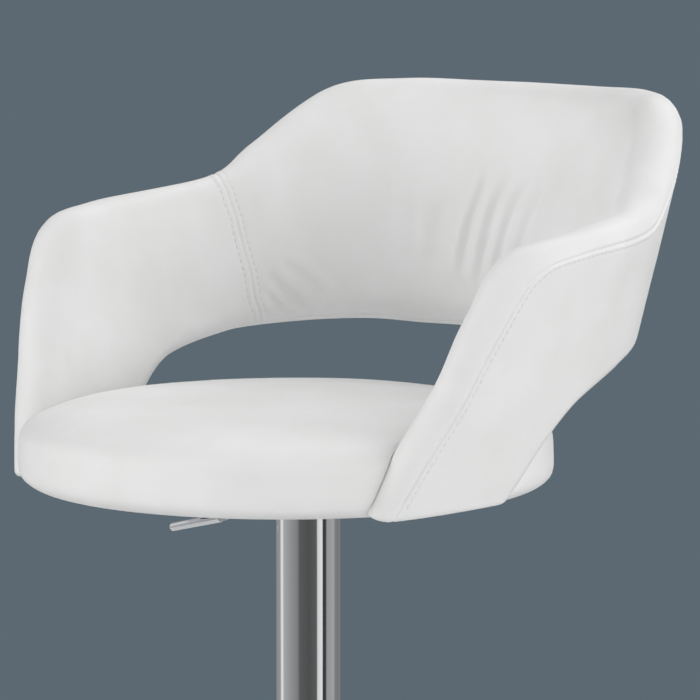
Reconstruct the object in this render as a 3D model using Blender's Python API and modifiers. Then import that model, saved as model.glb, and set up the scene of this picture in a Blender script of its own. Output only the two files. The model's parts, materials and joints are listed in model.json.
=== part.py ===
"""Adjustable swivel stool: a padded seat and wraparound back on a gas-lift column.

Metres, +Z up, floor at z = 0, column axis on Z, the stool faces -Y and the sitter's left is +X.
Modelled fully raised. Run with: blender --background --python part.py
"""

import math

import bmesh
import bpy
from mathutils import Matrix, Vector

# ---------------------------------------------------------------- shared fits
TOUCH = 0.0003            # left between two pieces that touch
SLIDE = 0.0004            # radial clearance of what slides or turns
LIFT_STROKE = 0.210       # travel of the gas cylinder

# ---------------------------------------------------------------- seat heights
SEAT_UNDERSIDE = 0.740    # underside of the cushion above the floor, fully raised
PAN_DEPTH = 0.018         # how far the seat plate's pan hangs below the underside

# ---------------------------------------------------------------- base
FLOOR_PAD_THICKNESS = 0.003
FLOOR_PAD_INSET = 0.0055   # the pad's edge inside the cover's
BALLAST_INSET = 0.0095
BALLAST_THICKNESS = 0.0075
BALLAST_BORE = 0.022
FLANGE_RADIUS = 0.075
FLANGE_THICKNESS = 0.005
FLANGE_BOLT_CIRCLE = 0.058
SHELL_RADIUS = 0.1925
SHELL_WALL = 0.0012
SHELL_RIM_HEIGHT = 0.012
SHELL_NECK_HEIGHT = 0.096
SHELL_NECK_GAP = 0.00475  # between the cover's neck and the column
SHELL_SWEEP = 3.2         # how late the spun cover turns up towards its neck
RIM_CLEAR_OF_FLOOR = 0.0012

# ---------------------------------------------------------------- column
TUBE_RADIUS = 0.03175
TUBE_WALL = 0.0015
LOWERED_GAP = 0.050       # left between the column's top and the seat plate, seat right down
BUSH_LENGTH = 0.042
BUSH_LIP = 0.0035
SLEEVE_RADIUS = 0.027
SLEEVE_WALL = 0.0012
SLEEVE_ENGAGED = 0.067    # sleeve left inside the column, seat right up
TRIM_HEIGHT = 0.009

# ---------------------------------------------------------------- gas spring
CYLINDER_RADIUS = 0.014
CYLINDER_WALL = 0.0016
CYLINDER_LENGTH = 0.432
CYLINDER_HEAD = 0.015     # solid ends of the cylinder
ROD_RADIUS = 0.005
ROD_FOOT_RADIUS = 0.004
PISTON_LENGTH = 0.012
RACE_THICKNESS = 0.002
RACE_RADIUS = 0.013
BALL_RADIUS = 0.0024
BUMP_STOP_RADIUS = 0.0125
BUMP_STOP_HEIGHT = 0.010
CLIP_THICKNESS = 0.001
CLIP_LAND = 0.003         # how far the clip stands out past the rod
VALVE_RADIUS = 0.004
VALVE_LENGTH = 0.0200
VALVE_TIP_RADIUS = 0.0025

# ---------------------------------------------------------------- footrest
FOOTREST_HEIGHT = 0.300
FOOTREST_CLAMP_HEIGHT = 0.040
FOOTREST_CLAMP_WALL = 0.0065
FOOTREST_TUBE_RADIUS = 0.011
FOOTREST_TUBE_WALL = 0.0015
FOOTREST_HOOP_RADIUS = 0.142
FOOTREST_HOOP_FORWARD = 0.080
FOOTREST_CORNER = 0.034
FOOTREST_ARC_STEPS = 18

# ---------------------------------------------------------------- seat plate and lever
PLATE_WIDTH = 0.190
PLATE_DEPTH = 0.150
PLATE_THICKNESS = 0.0025
PAN_RADIUS = 0.058
PLATE_CORNER = 0.018
PLATE_BOLT_LENGTH = 0.017
LEVER_SLOT_WIDTH = 0.010
LEVER_SLOT_TOP = 0.0035   # below the cushion's underside
PLATE_BOLT_X = 0.078
PLATE_BOLT_Y = 0.058
BOLT_RADIUS = 0.004
BOLT_HEAD_RADIUS = 0.007
BOLT_HEAD_HEIGHT = 0.004
LEVER_PIVOT_X = -0.030    # under the sitter's right
LEVER_DROP = 0.0060       # pivot below the cushion's underside
LEVER_RADIUS = 0.003
LEVER_PIN_RADIUS = 0.00125
LEVER_SLOPE = math.radians(13.5)
LEVER_KNEE_X = -0.088     # where the straight outer run starts
LEVER_KNEE_DROP = 0.0373
LEVER_TIP_X = -0.1525
LEVER_INNER_X = 0.005     # where the lever ends, past the valve button
LEVER_BEND_X = -0.046     # where it bends down to pass under the board
GRIP_RADIUS = 0.0037
GRIP_LENGTH = 0.056
BRACKET_LENGTH = 0.012
BRACKET_WALL = 0.0015
BRACKET_WIDTH = 0.015

# ---------------------------------------------------------------- seat
SEAT_RADIUS = 0.2245
SEAT_FORWARD = 0.0285     # centre of the cushion in front of the column
SEAT_THICKNESS = 0.0695
SEAT_WAIST = 0.035        # height of the cushion's widest line
SEAT_CROWN = 0.008
SEAT_EDGE_POWER = 0.42    # below 1 the cushion's edge is fuller than a half circle
BOARD_RIM = 0.0445        # the board's edge inside the cushion's
BOARD_THICKNESS = 0.018
LINING_THICKNESS = 0.0008
LINING_RIM = 0.006        # the lining's edge inside the board's

# ---------------------------------------------------------------- wraparound band
BAND_INSIDE_SEAT = 0.016  # the middle surface's foot inside the cushion's side
BAND_HALF_DEPTH = 0.2545
BAND_CENTRE_Y = -0.0115
BAND_FLARE_X = 0.210      # growth of the half width for each metre of height
BAND_FLARE_Y = 0.260
BAND_POWER = 2.185        # 2 is an ellipse in plan, more is squarer
BAND_FOOT_THICKNESS = 0.037
BAND_THICKNESS = 0.0445
BAND_RINGS = 19           # from one foot to the middle of the back
CORE_THICKNESS = 0.010
CORE_INSET = 0.012        # the core's edge inside the band's edge
SEAM_INSET = 0.0165       # where the inner pad, wrapped round the edge, meets the outer pad
FOAM_FIT = 0.0010         # left between the curved core and the foam moulded round it
NOTCH_FIT = 0.0012        # left between the cushion and the band's feet
BRACKET_FIT = 0.001       # left between the foam and an arm bracket

# The band's two edges: degrees round from the middle of the back, and height above the seat's underside.
FRONT_EDGE = (
    (119.5, 0.009), (114.0, 0.054), (108.0, 0.100), (101.8, 0.163), (96.0, 0.208), (86.8, 0.224),
    (64.0, 0.237), (55.0, 0.266), (41.2, 0.313), (27.5, 0.3235), (13.3, 0.3235), (0.0, 0.323),
)
LOWER_EDGE = (
    (89.3, 0.0125), (83.2, 0.054), (78.2, 0.0775), (73.3, 0.089), (64.7, 0.0995), (56.0, 0.1055),
    (32.3, 0.1110), (17.7, 0.1075), (0.0, 0.107),
)
METRES_PER_DEGREE = 0.0039   # round the band, to space its rings evenly

# ---------------------------------------------------------------- arm brackets
ARM_BRACKET_ANGLE = 104.0    # middle of the bracket, round from the middle of the back
ARM_BRACKET_WIDTH = 0.036
ARM_BRACKET_WALL = 0.003
ARM_BRACKET_RISE = 0.062
ARM_BRACKET_ON_BOARD = 0.045   # how far the leg reaches in under the board's edge
ARM_BRACKET_SETBACK = 0.0012   # the flat leg against the curved core
ARM_BOLT_HEIGHTS = (0.030, 0.052)
ARM_BOLT_RADIUS = 0.003
ARM_BOLT_HEAD_RADIUS = 0.0065
ARM_BOLT_HEAD_HEIGHT = 0.0032
ARM_BOLT_LENGTH = 0.017
BOARD_BOLT_LENGTH = 0.014
BOARD_BOLT_INSET = 0.028     # inside the board's edge
BOARD_BOLT_SPACING = 0.018

# ---------------------------------------------------------------- worked out from the above
PAN_BOTTOM = SEAT_UNDERSIDE - PAN_DEPTH
TUBE_TOP = PAN_BOTTOM - LIFT_STROKE - LOWERED_GAP
SLEEVE_LENGTH = PAN_BOTTOM - TUBE_TOP + SLEEVE_ENGAGED
FLOOR_PAD_RADIUS = SHELL_RADIUS - FLOOR_PAD_INSET
BALLAST_RADIUS = SHELL_RADIUS - BALLAST_INSET
SHELL_NECK_RADIUS = TUBE_RADIUS + SHELL_NECK_GAP
BOARD_RADIUS = SEAT_RADIUS - BOARD_RIM
LINING_RADIUS = BOARD_RADIUS - LINING_RIM
BAND_HALF_WIDTH = SEAT_RADIUS - BAND_INSIDE_SEAT
ARM_BRACKET_REACH = BOARD_RADIUS - ARM_BRACKET_ON_BOARD
BOARD_BOLT_FROM_AXIS = BOARD_RADIUS - BOARD_BOLT_INSET
BALLAST_BOTTOM = FLOOR_PAD_THICKNESS + TOUCH
FLANGE_BOTTOM = BALLAST_BOTTOM + BALLAST_THICKNESS + TOUCH
FLANGE_TOP = FLANGE_BOTTOM + FLANGE_THICKNESS
ROD_BORE = ROD_FOOT_RADIUS + SLIDE
LOWER_RACE_BOTTOM = FLANGE_TOP + TOUCH
BALLS_BOTTOM = LOWER_RACE_BOTTOM + RACE_THICKNESS + TOUCH
UPPER_RACE_BOTTOM = BALLS_BOTTOM + 2 * BALL_RADIUS + TOUCH
ROD_SHOULDER = UPPER_RACE_BOTTOM + RACE_THICKNESS + TOUCH
CLIP_TOP = FLANGE_BOTTOM - SLIDE
CLIP_BOTTOM = CLIP_TOP - CLIP_THICKNESS
ROD_BOTTOM = CLIP_BOTTOM - 0.002
CYLINDER_TOP = PAN_BOTTOM + 0.0035
CYLINDER_BOTTOM = CYLINDER_TOP - CYLINDER_LENGTH
ROD_TOP = CYLINDER_BOTTOM + CYLINDER_HEAD + TOUCH + PISTON_LENGTH
LEVER_PIVOT = Vector((LEVER_PIVOT_X, 0.0, SEAT_UNDERSIDE - LEVER_DROP))
VALVE_TOP = LEVER_PIVOT.z - LEVER_RADIUS - TOUCH
TUBE_BORE = TUBE_RADIUS - TUBE_WALL
CLAMP_RADIUS = TUBE_RADIUS + TOUCH + FOOTREST_CLAMP_WALL
LINING_TOP = SEAT_UNDERSIDE + LINING_THICKNESS
BOARD_BOTTOM = LINING_TOP + TOUCH
BOARD_TOP = BOARD_BOTTOM + BOARD_THICKNESS
BOARD_BOLT_HEAD_ROOM = ARM_BOLT_HEAD_HEIGHT + 0.002
STEPS = 28                   # facets round a turned part
WIDE_STEPS = 32              # facets round the broad discs
SMALL_STEPS = 16             # facets round small turned parts


# ---------------------------------------------------------------- tools
def clear_scene():
    for obj in list(bpy.data.objects):
        bpy.data.objects.remove(obj, do_unlink=True)


def collection(name, hidden=False):
    group = bpy.data.collections.new(name)
    bpy.context.scene.collection.children.link(group)
    group.hide_render = hidden
    return group


def material(name, colour, roughness, metallic=0.0):
    mat = bpy.data.materials.new(name)
    mat.use_nodes = True
    shader = mat.node_tree.nodes["Principled BSDF"]
    shader.inputs["Base Color"].default_value = (*colour, 1.0)
    shader.inputs["Roughness"].default_value = roughness
    shader.inputs["Metallic"].default_value = metallic
    return mat


def place(data, name, mat, group, location=(0, 0, 0)):
    """Links an object holding this mesh or curve, and gives it its material."""
    obj = bpy.data.objects.new(name, data)
    obj.location = location
    data.materials.append(mat)
    group.objects.link(obj)
    return obj


def turned(name, profile, mat, group, steps=STEPS, closed=True, location=(0, 0, 0)):
    """A turned part. The profile runs down the outer side; a closed one comes back up the bore."""
    mesh = bpy.data.meshes.new(name)
    count = len(profile)
    edges = [(i, i + 1) for i in range(count - 1)]
    if closed:
        edges.append((count - 1, 0))
    mesh.from_pydata([(r, 0.0, z) for r, z in profile], edges, [])
    obj = place(mesh, name, mat, group, location)
    screw = obj.modifiers.new("Screw", "SCREW")
    screw.angle = 2 * math.pi
    screw.steps = screw.render_steps = steps
    screw.use_merge_vertices = True
    screw.merge_threshold = 0.0001
    screw.use_normal_calculate = False
    screw.use_smooth_shade = True
    return obj


def ring(name, bore, radius, bottom, top, mat, group, steps=STEPS):
    """A washer, bush or plain tube."""
    return turned(name, [(radius, top), (radius, bottom), (bore, bottom), (bore, top)], mat, group, steps)


def disc(name, radius, bottom, top, mat, group, steps=STEPS):
    profile = [(0.0, top), (radius, top), (radius, bottom), (0.0, bottom)]
    return turned(name, profile, mat, group, steps, closed=False)


def block(name, size, centre, mat, group):
    mesh = bpy.data.meshes.new(name)
    shape = bmesh.new()
    bmesh.ops.create_cube(shape, size=1.0)
    bmesh.ops.scale(shape, vec=size, verts=shape.verts)
    shape.to_mesh(mesh)
    shape.free()
    return place(mesh, name, mat, group, centre)


def flat_outline(name, points, thickness, mat, group):
    """A flat plate in XY: a filled 2D curve, its middle plane at the object's origin."""
    curve = bpy.data.curves.new(name, "CURVE")
    curve.dimensions = "2D"
    curve.fill_mode = "BOTH"
    curve.extrude = thickness / 2
    spline = curve.splines.new("POLY")
    spline.points.add(len(points) - 1)
    for point, (x, y) in zip(spline.points, points):
        point.co = (x, y, 0.0, 1.0)
    spline.use_cyclic_u = True
    return place(curve, name, mat, group)


def rod_along(name, points, radius, mat, group, sides=10, caps=True):
    curve = bpy.data.curves.new(name, "CURVE")
    curve.dimensions = "3D"
    curve.bevel_depth = radius
    curve.bevel_resolution = sides // 2 - 2
    curve.use_fill_caps = caps
    spline = curve.splines.new("POLY")
    spline.points.add(len(points) - 1)
    for point, place_at in zip(spline.points, points):
        point.co = (*place_at, 1.0)
    return place(curve, name, mat, group)


def as_mesh(obj):
    """Turns a curve into one closed mesh, for the Boolean modifiers that follow."""
    bpy.context.view_layer.update()
    graph = bpy.context.evaluated_depsgraph_get()
    mesh = bpy.data.meshes.new_from_object(obj.evaluated_get(graph))
    shape = bmesh.new()
    shape.from_mesh(mesh)
    bmesh.ops.remove_doubles(shape, verts=shape.verts, dist=1e-6)
    bmesh.ops.recalc_face_normals(shape, faces=shape.faces)
    shape.to_mesh(mesh)
    shape.free()
    name, group, matrix = obj.name, obj.users_collection[0], obj.matrix_world.copy()
    bpy.data.objects.remove(obj, do_unlink=True)
    solid = bpy.data.objects.new(name, mesh)
    solid.matrix_world = matrix
    group.objects.link(solid)
    return solid


def boolean(obj, other, operation="DIFFERENCE"):
    other.hide_render = True
    other.display_type = "WIRE"
    cut = obj.modifiers.new(other.name, "BOOLEAN")
    cut.operation = operation
    cut.solver = "EXACT"
    cut.object = other


def rounded_rectangle(width, depth, corner, steps=5):
    points = []
    for quarter, (sx, sy) in enumerate(((1, 1), (-1, 1), (-1, -1), (1, -1))):
        for step in range(steps + 1):
            angle = math.radians(90 * quarter + 90 * step / steps)
            points.append((sx * (width / 2 - corner) + corner * math.cos(angle),
                           sy * (depth / 2 - corner) + corner * math.sin(angle)))
    return points


def smooth_path(points, count, stretch=1.0):
    """Evenly spaced points along a Catmull-Rom curve that is level at its last point."""
    pts = [Vector((a * stretch, b)) for a, b in points]
    before = 2 * pts[0] - pts[1]
    after = Vector((-pts[-2].x, pts[-2].y))
    chain = [before] + pts + [after]
    dense = []
    for p0, p1, p2, p3 in zip(chain, chain[1:], chain[2:], chain[3:]):
        for step in range(16):
            t = step / 16
            dense.append(0.5 * (2 * p1 + (p2 - p0) * t + (2 * p0 - 5 * p1 + 4 * p2 - p3) * t * t
                                + (3 * p1 - p0 - 3 * p2 + p3) * t ** 3))
    dense.append(pts[-1])
    lengths = [0.0]
    for a, b in zip(dense, dense[1:]):
        lengths.append(lengths[-1] + (b - a).length)
    path = []
    place_in = 0
    for index in range(count):
        want = lengths[-1] * index / (count - 1)
        while place_in < len(dense) - 2 and lengths[place_in + 1] < want:
            place_in += 1
        span = lengths[place_in + 1] - lengths[place_in]
        point = dense[place_in].lerp(dense[place_in + 1], (want - lengths[place_in]) / span)
        path.append((point.x / stretch, point.y))
    return path


def rounded_corner(before, corner, after, steps=5):
    """Points of a bend that leaves the line before-corner and joins corner-after."""
    bend = []
    for step in range(steps + 1):
        t = step / steps
        bend.append(before * (1 - t) ** 2 + corner * 2 * t * (1 - t) + after * t * t)
    return bend


def facing(obj, direction):
    obj.rotation_mode = "QUATERNION"
    obj.rotation_quaternion = direction.to_track_quat("Z", "Y")
    return obj


def bolt(name, seat, direction, length, radius, head_radius, head_height, mat, group):
    """A button-head bolt. Its head stands on the seat point and faces along direction."""
    profile = [
        (0.0, head_height), (0.6 * head_radius, head_height), (head_radius, 0.45 * head_height),
        (head_radius, 0.0), (radius, 0.0), (radius, 0.5 * radius - length), (0.6 * radius, -length),
        (0.0, -length),
    ]
    return facing(turned(name, profile, mat, group, steps=8, closed=False, location=seat), direction)


def drills(name, holes, mat, group, sides=12):
    """One cutter made of several cylinders, each given as (start, end, radius)."""
    shape = bmesh.new()
    for start, end, radius in holes:
        axis = end - start
        made = bmesh.ops.create_cone(shape, cap_ends=True, segments=sides, radius1=radius, radius2=radius,
                                     depth=axis.length)
        bmesh.ops.rotate(shape, matrix=axis.to_track_quat("Z", "Y").to_matrix(), verts=made["verts"])
        bmesh.ops.translate(shape, vec=(start + end) / 2, verts=made["verts"])
    mesh = bpy.data.meshes.new(name)
    shape.to_mesh(mesh)
    shape.free()
    return place(mesh, name, mat, group)


def loft(name, rings, mat, group):
    """A closed body through rings of equal point count, with a flat end at each foot."""
    shape = bmesh.new()
    rows = [[shape.verts.new(point) for point in points] for points in rings]
    count = len(rows[0])
    for row, following in zip(rows, rows[1:]):
        for i in range(count):
            j = (i + 1) % count
            shape.faces.new((row[i], row[j], following[j], following[i]))
    shape.faces.new(list(reversed(rows[0])))
    shape.faces.new(rows[-1])
    bmesh.ops.triangulate(shape, faces=shape.faces)
    bmesh.ops.recalc_face_normals(shape, faces=shape.faces)
    mesh = bpy.data.meshes.new(name)
    shape.to_mesh(mesh)
    shape.free()
    mesh.shade_smooth()
    mesh.set_sharp_from_angle(angle=math.radians(50))
    return place(mesh, name, mat, group)


# ---------------------------------------------------------------- the band's middle surface
def bulged(value):
    return math.copysign(abs(value) ** (2 / BAND_POWER), value)


def on_band(angle, height):
    """The middle surface, this many degrees round from the middle of the back."""
    turn = math.radians(angle)
    half_width = BAND_HALF_WIDTH + BAND_FLARE_X * height
    half_depth = BAND_HALF_DEPTH + BAND_FLARE_Y * height
    return Vector((half_width * bulged(math.sin(turn)),
                   BAND_CENTRE_Y + half_depth * bulged(math.cos(turn)),
                   SEAT_UNDERSIDE + height))


def outward(angle, height):
    along = on_band(angle + 0.5, height) - on_band(angle - 0.5, height)
    upward = on_band(angle, height + 0.001) - on_band(angle, height - 0.001)
    return upward.cross(along).normalized()


class CrossSection:
    """One ring's place on the band: across from the front edge (0) to the lower edge (width)."""

    def __init__(self, front, lower, thickness):
        self.front = Vector(front)
        self.lower = Vector(lower)
        self.thickness = thickness
        samples = [on_band(*self.front.lerp(self.lower, step / 8)) for step in range(9)]
        self.width = sum((b - a).length for a, b in zip(samples, samples[1:]))

    def point(self, across, depth):
        angle, height = self.front.lerp(self.lower, across / self.width)
        return on_band(angle, height) + outward(angle, height) * depth

    def rounded_edge(self, from_angle, to_angle, steps, extra=0.0):
        """The edge's half-round: +90 degrees on the outer face, 0 at the rim, -90 on the inner face."""
        radius = self.thickness / 2
        points = []
        for step in range(steps + 1):
            turn = math.radians(from_angle + (to_angle - from_angle) * step / steps)
            points.append((radius - (radius + extra) * math.cos(turn), (radius + extra) * math.sin(turn)))
        return points

    def seam_angle(self):
        return math.degrees(math.acos(1 - min(1.0, SEAM_INSET / (self.thickness / 2))))

    def stations(self, count=5):
        """Where the flat parts are sampled, the same on every layer, so that the layers stay parallel."""
        first, last = SEAM_INSET, self.width - SEAM_INSET
        return [first + (last - first) * i / (count - 1) for i in range(count)]

    def mirrored(self, points):
        return [(self.width - across, depth) for across, depth in reversed(points)]


def band_sections():
    front = smooth_path(FRONT_EDGE, BAND_RINGS, METRES_PER_DEGREE)
    lower = smooth_path(LOWER_EDGE, BAND_RINGS, METRES_PER_DEGREE)
    sections = []
    for index, (edge_a, edge_b) in enumerate(zip(front, lower)):
        grown = min(1.0, index / (0.25 * BAND_RINGS))
        thickness = BAND_FOOT_THICKNESS + (BAND_THICKNESS - BAND_FOOT_THICKNESS) * grown
        sections.append(CrossSection(edge_a, edge_b, thickness))
    return sections


def band_rings(outline, overrun=0.0):
    """Rings from the left foot over the back to the right foot, run on past both feet by overrun."""
    left = [[section.point(*place_on) for place_on in outline(section)] for section in band_sections()]
    if overrun:
        left.insert(0, [p + (p - q).normalized() * overrun for p, q in zip(left[0], left[1])])
    right = [[Vector((-p.x, p.y, p.z)) for p in points] for points in reversed(left[:-1])]
    return left + right


def core_outline(section):
    half = CORE_THICKNESS / 2
    row = [CORE_INSET] + section.stations() + [section.width - CORE_INSET]
    return [(across, half) for across in row] + [(across, -half) for across in reversed(row)]


def outer_pad_outline(section):
    face = CORE_THICKNESS / 2 + FOAM_FIT
    reach = math.degrees(2 * TOUCH / section.thickness)
    row = section.stations()
    row[0] += TOUCH
    row[-1] -= TOUCH
    edge = section.rounded_edge(section.seam_angle() + reach, 90.0, 1)
    skin = edge + [(across, section.thickness / 2) for across in row[1:-1]] + section.mirrored(edge)
    return [(across, face) for across in reversed(row)] + skin


def inner_pad_outline(section):
    half = CORE_THICKNESS / 2 + FOAM_FIT
    inset = CORE_INSET - FOAM_FIT
    edge = section.rounded_edge(section.seam_angle(), -90.0, 5)
    row = section.stations()
    skin = edge + [(across, -section.thickness / 2) for across in row[1:-1]] + section.mirrored(edge)
    hollow = [(row[-1], half), (section.width - inset, half), (section.width - inset, -half)]
    hollow += [(across, -half) for across in reversed(row)]
    hollow += [(inset, -half), (inset, half), (row[0], half)]
    return skin + hollow


def envelope_outline(section):
    """The whole band with the notch clearance all round it."""
    half = section.thickness / 2 + NOTCH_FIT
    edge = section.rounded_edge(90.0, -90.0, 6, NOTCH_FIT)
    row = section.stations()[1:-1]
    inner = [(across, -half) for across in row]
    outer = [(across, half) for across in reversed(row)]
    return edge + inner + section.mirrored(edge) + outer


# ---------------------------------------------------------------- base and column
def spun_cover_profile(steps=8):
    """The cover's outer face, from its neck down to the rim."""
    rise = SHELL_NECK_HEIGHT - SHELL_RIM_HEIGHT
    profile = []
    for step in range(steps + 1):
        out = step / steps
        radius = SHELL_NECK_RADIUS + (SHELL_RADIUS - 0.006 - SHELL_NECK_RADIUS) * out
        profile.append((radius, SHELL_RIM_HEIGHT + rise * (1 - out) ** SHELL_SWEEP))
    profile.append((SHELL_RADIUS - 0.0015, SHELL_RIM_HEIGHT - 0.003))
    profile.append((SHELL_RADIUS, SHELL_RIM_HEIGHT - 0.007))
    profile.append((SHELL_RADIUS, RIM_CLEAR_OF_FLOOR))
    return profile


def build_base(group, cutters, mats):
    steel, chrome, rubber = mats["steel"], mats["chrome"], mats["rubber"]
    pieces = [
        disc("floor_pad", FLOOR_PAD_RADIUS, 0.0, FLOOR_PAD_THICKNESS, mats["foam"], group, steps=WIDE_STEPS),
        ring("base_weight", BALLAST_BORE, BALLAST_RADIUS, BALLAST_BOTTOM, BALLAST_BOTTOM + BALLAST_THICKNESS,
             mats["iron"], group, steps=WIDE_STEPS),
        ring("bearing_lower_race", ROD_BORE, RACE_RADIUS, LOWER_RACE_BOTTOM,
             LOWER_RACE_BOTTOM + RACE_THICKNESS, steel, group, steps=SMALL_STEPS),
        ring("column_tube", TUBE_BORE, TUBE_RADIUS, FLANGE_TOP + TOUCH, TUBE_TOP, chrome, group),
    ]

    flange = ring("column_flange", ROD_BORE, FLANGE_RADIUS, FLANGE_BOTTOM, FLANGE_TOP, steel, group)
    ballast = pieces[1]
    holes, threads = [], []
    for index in range(4):
        turn = math.radians(45 + 90 * index)
        seat = Vector((FLANGE_BOLT_CIRCLE * math.cos(turn), FLANGE_BOLT_CIRCLE * math.sin(turn),
                       FLANGE_TOP + TOUCH))
        length = FLANGE_THICKNESS + BALLAST_THICKNESS - 0.001
        pieces.append(bolt(f"flange_bolt_{index + 1}", seat, Vector((0, 0, 1)), length, BOLT_RADIUS,
                           BOLT_HEAD_RADIUS, BOLT_HEAD_HEIGHT, steel, group))
        down = Vector((0, 0, -1))
        holes.append((seat + down * -0.002, seat + down * (FLANGE_THICKNESS + 0.0008), BOLT_RADIUS + SLIDE))
        threads.append((seat + down * FLANGE_THICKNESS, seat + down * (length + 0.0006),
                        BOLT_RADIUS + TOUCH))
    boolean(flange, drills("flange_bolt_holes", holes, steel, cutters))
    boolean(ballast, drills("ballast_threads", threads, steel, cutters))
    pieces.append(flange)

    cover = turned("base_shell", spun_cover_profile(), chrome, group, steps=WIDE_STEPS, closed=False)
    wall = cover.modifiers.new("Wall", "SOLIDIFY")
    wall.thickness = SHELL_WALL
    wall.offset = -1.0
    pieces.append(cover)

    bore, foot = TUBE_RADIUS + TOUCH, SHELL_NECK_HEIGHT + TOUCH
    outer = SHELL_NECK_RADIUS + 0.003
    pieces.append(turned("base_trim_ring", [
        (bore + 0.0015, foot + TRIM_HEIGHT), (outer - 0.002, foot + TRIM_HEIGHT - 0.002),
        (outer, foot + 0.004), (outer, foot), (bore, foot), (bore, foot + TRIM_HEIGHT)], rubber, group))

    lip = TUBE_TOP + TOUCH
    pieces.append(turned("guide_bush", [
        (TUBE_RADIUS - 0.001, lip + BUSH_LIP), (TUBE_RADIUS, lip + BUSH_LIP - 0.001), (TUBE_RADIUS, lip),
        (TUBE_BORE - TOUCH, lip), (TUBE_BORE - TOUCH, TUBE_TOP - BUSH_LENGTH),
        (SLEEVE_RADIUS + SLIDE, TUBE_TOP - BUSH_LENGTH), (SLEEVE_RADIUS + SLIDE, lip + BUSH_LIP)],
        mats["nylon"], group))
    return pieces + build_footrest(group, cutters, mats)


def build_footrest(group, cutters, mats):
    bottom = FOOTREST_HEIGHT - FOOTREST_CLAMP_HEIGHT / 2
    top = FOOTREST_HEIGHT + FOOTREST_CLAMP_HEIGHT / 2
    clamp = turned("footrest_clamp", [
        (CLAMP_RADIUS - 0.0015, top), (CLAMP_RADIUS, top - 0.0015), (CLAMP_RADIUS, bottom + 0.0015),
        (CLAMP_RADIUS - 0.0015, bottom), (TUBE_RADIUS + TOUCH, bottom), (TUBE_RADIUS + TOUCH, top)],
        mats["chrome"], group)
    tip = Vector((0.0, TUBE_RADIUS + TOUCH, FOOTREST_HEIGHT))
    back = Vector((0, 1, 0))
    length = FOOTREST_CLAMP_WALL
    screw = bolt("footrest_screw", tip + back * (length + TOUCH), back, length, BOLT_RADIUS,
                 BOLT_HEAD_RADIUS, BOLT_HEAD_HEIGHT, mats["steel"], group)
    boolean(clamp, drills("footrest_screw_hole",
                          [(tip - back * 0.001, tip + back * (length + 0.002), BOLT_RADIUS + TOUCH)],
                          mats["steel"], cutters))

    radius, centre = FOOTREST_HOOP_RADIUS, Vector((0.0, -FOOTREST_HOOP_FORWARD, FOOTREST_HEIGHT))
    first = math.asin(FOOTREST_HOOP_FORWARD / radius) - FOOTREST_CORNER / radius
    corner = Vector((math.sqrt(radius ** 2 - FOOTREST_HOOP_FORWARD ** 2), 0.0, FOOTREST_HEIGHT))
    weld = Vector((CLAMP_RADIUS + TOUCH, 0.0, FOOTREST_HEIGHT))
    arc = []
    for step in range(FOOTREST_ARC_STEPS + 1):
        turn = first - (math.pi + 2 * first) * step / FOOTREST_ARC_STEPS
        arc.append(centre + Vector((radius * math.cos(turn), radius * math.sin(turn), 0.0)))
    side = [weld] + rounded_corner(corner - Vector((FOOTREST_CORNER, 0, 0)), corner, arc[0])[:-1]
    other_side = [Vector((-p.x, p.y, p.z)) for p in reversed(side)]
    bar = rod_along("footrest_bar", side + arc + other_side, FOOTREST_TUBE_RADIUS, mats["chrome"], group,
                    sides=10, caps=False)
    wall = bar.modifiers.new("Wall", "SOLIDIFY")
    wall.thickness = FOOTREST_TUBE_WALL
    wall.offset = -1.0
    return [clamp, screw, bar]


# ---------------------------------------------------------------- what turns on the base
def build_rod(group, mats):
    steel = mats["steel"]
    groove = ROD_FOOT_RADIUS - 0.001
    groove_top, groove_bottom = CLIP_TOP + TOUCH / 3, CLIP_BOTTOM - TOUCH / 3
    piston = CYLINDER_RADIUS - CYLINDER_WALL - SLIDE
    rod = turned("piston_rod", [
        (0.0, ROD_TOP), (piston, ROD_TOP), (piston, ROD_TOP - PISTON_LENGTH),
        (ROD_RADIUS, ROD_TOP - PISTON_LENGTH), (ROD_RADIUS, ROD_SHOULDER), (ROD_FOOT_RADIUS, ROD_SHOULDER),
        (ROD_FOOT_RADIUS, groove_top), (groove, groove_top), (groove, groove_bottom),
        (ROD_FOOT_RADIUS, groove_bottom), (ROD_FOOT_RADIUS, ROD_BOTTOM), (0.0, ROD_BOTTOM)],
        steel, group, steps=SMALL_STEPS, closed=False)
    clip = ring("rod_clip", groove + TOUCH, ROD_FOOT_RADIUS + CLIP_LAND, CLIP_BOTTOM, CLIP_TOP,
                steel, group, steps=SMALL_STEPS)
    upper = ring("bearing_upper_race", ROD_BORE, RACE_RADIUS, UPPER_RACE_BOTTOM,
                 UPPER_RACE_BOTTOM + RACE_THICKNESS, steel, group, steps=SMALL_STEPS)
    pitch, half = (ROD_BORE + RACE_RADIUS) / 2, 0.4 * BALL_RADIUS
    middle = BALLS_BOTTOM + BALL_RADIUS
    balls = turned("bearing_ball_ring", [
        (pitch + half, middle + BALL_RADIUS), (pitch + BALL_RADIUS, middle + half),
        (pitch + BALL_RADIUS, middle - half), (pitch + half, middle - BALL_RADIUS),
        (pitch - half, middle - BALL_RADIUS), (pitch - BALL_RADIUS, middle - half),
        (pitch - BALL_RADIUS, middle + half), (pitch - half, middle + BALL_RADIUS)],
        mats["brass"], group, steps=SMALL_STEPS)
    stop = ring("bump_stop", ROD_RADIUS + TOUCH, BUMP_STOP_RADIUS, ROD_SHOULDER + TOUCH,
                ROD_SHOULDER + TOUCH + BUMP_STOP_HEIGHT, mats["rubber"], group, steps=SMALL_STEPS)
    return [rod, clip, upper, balls, stop]


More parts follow.
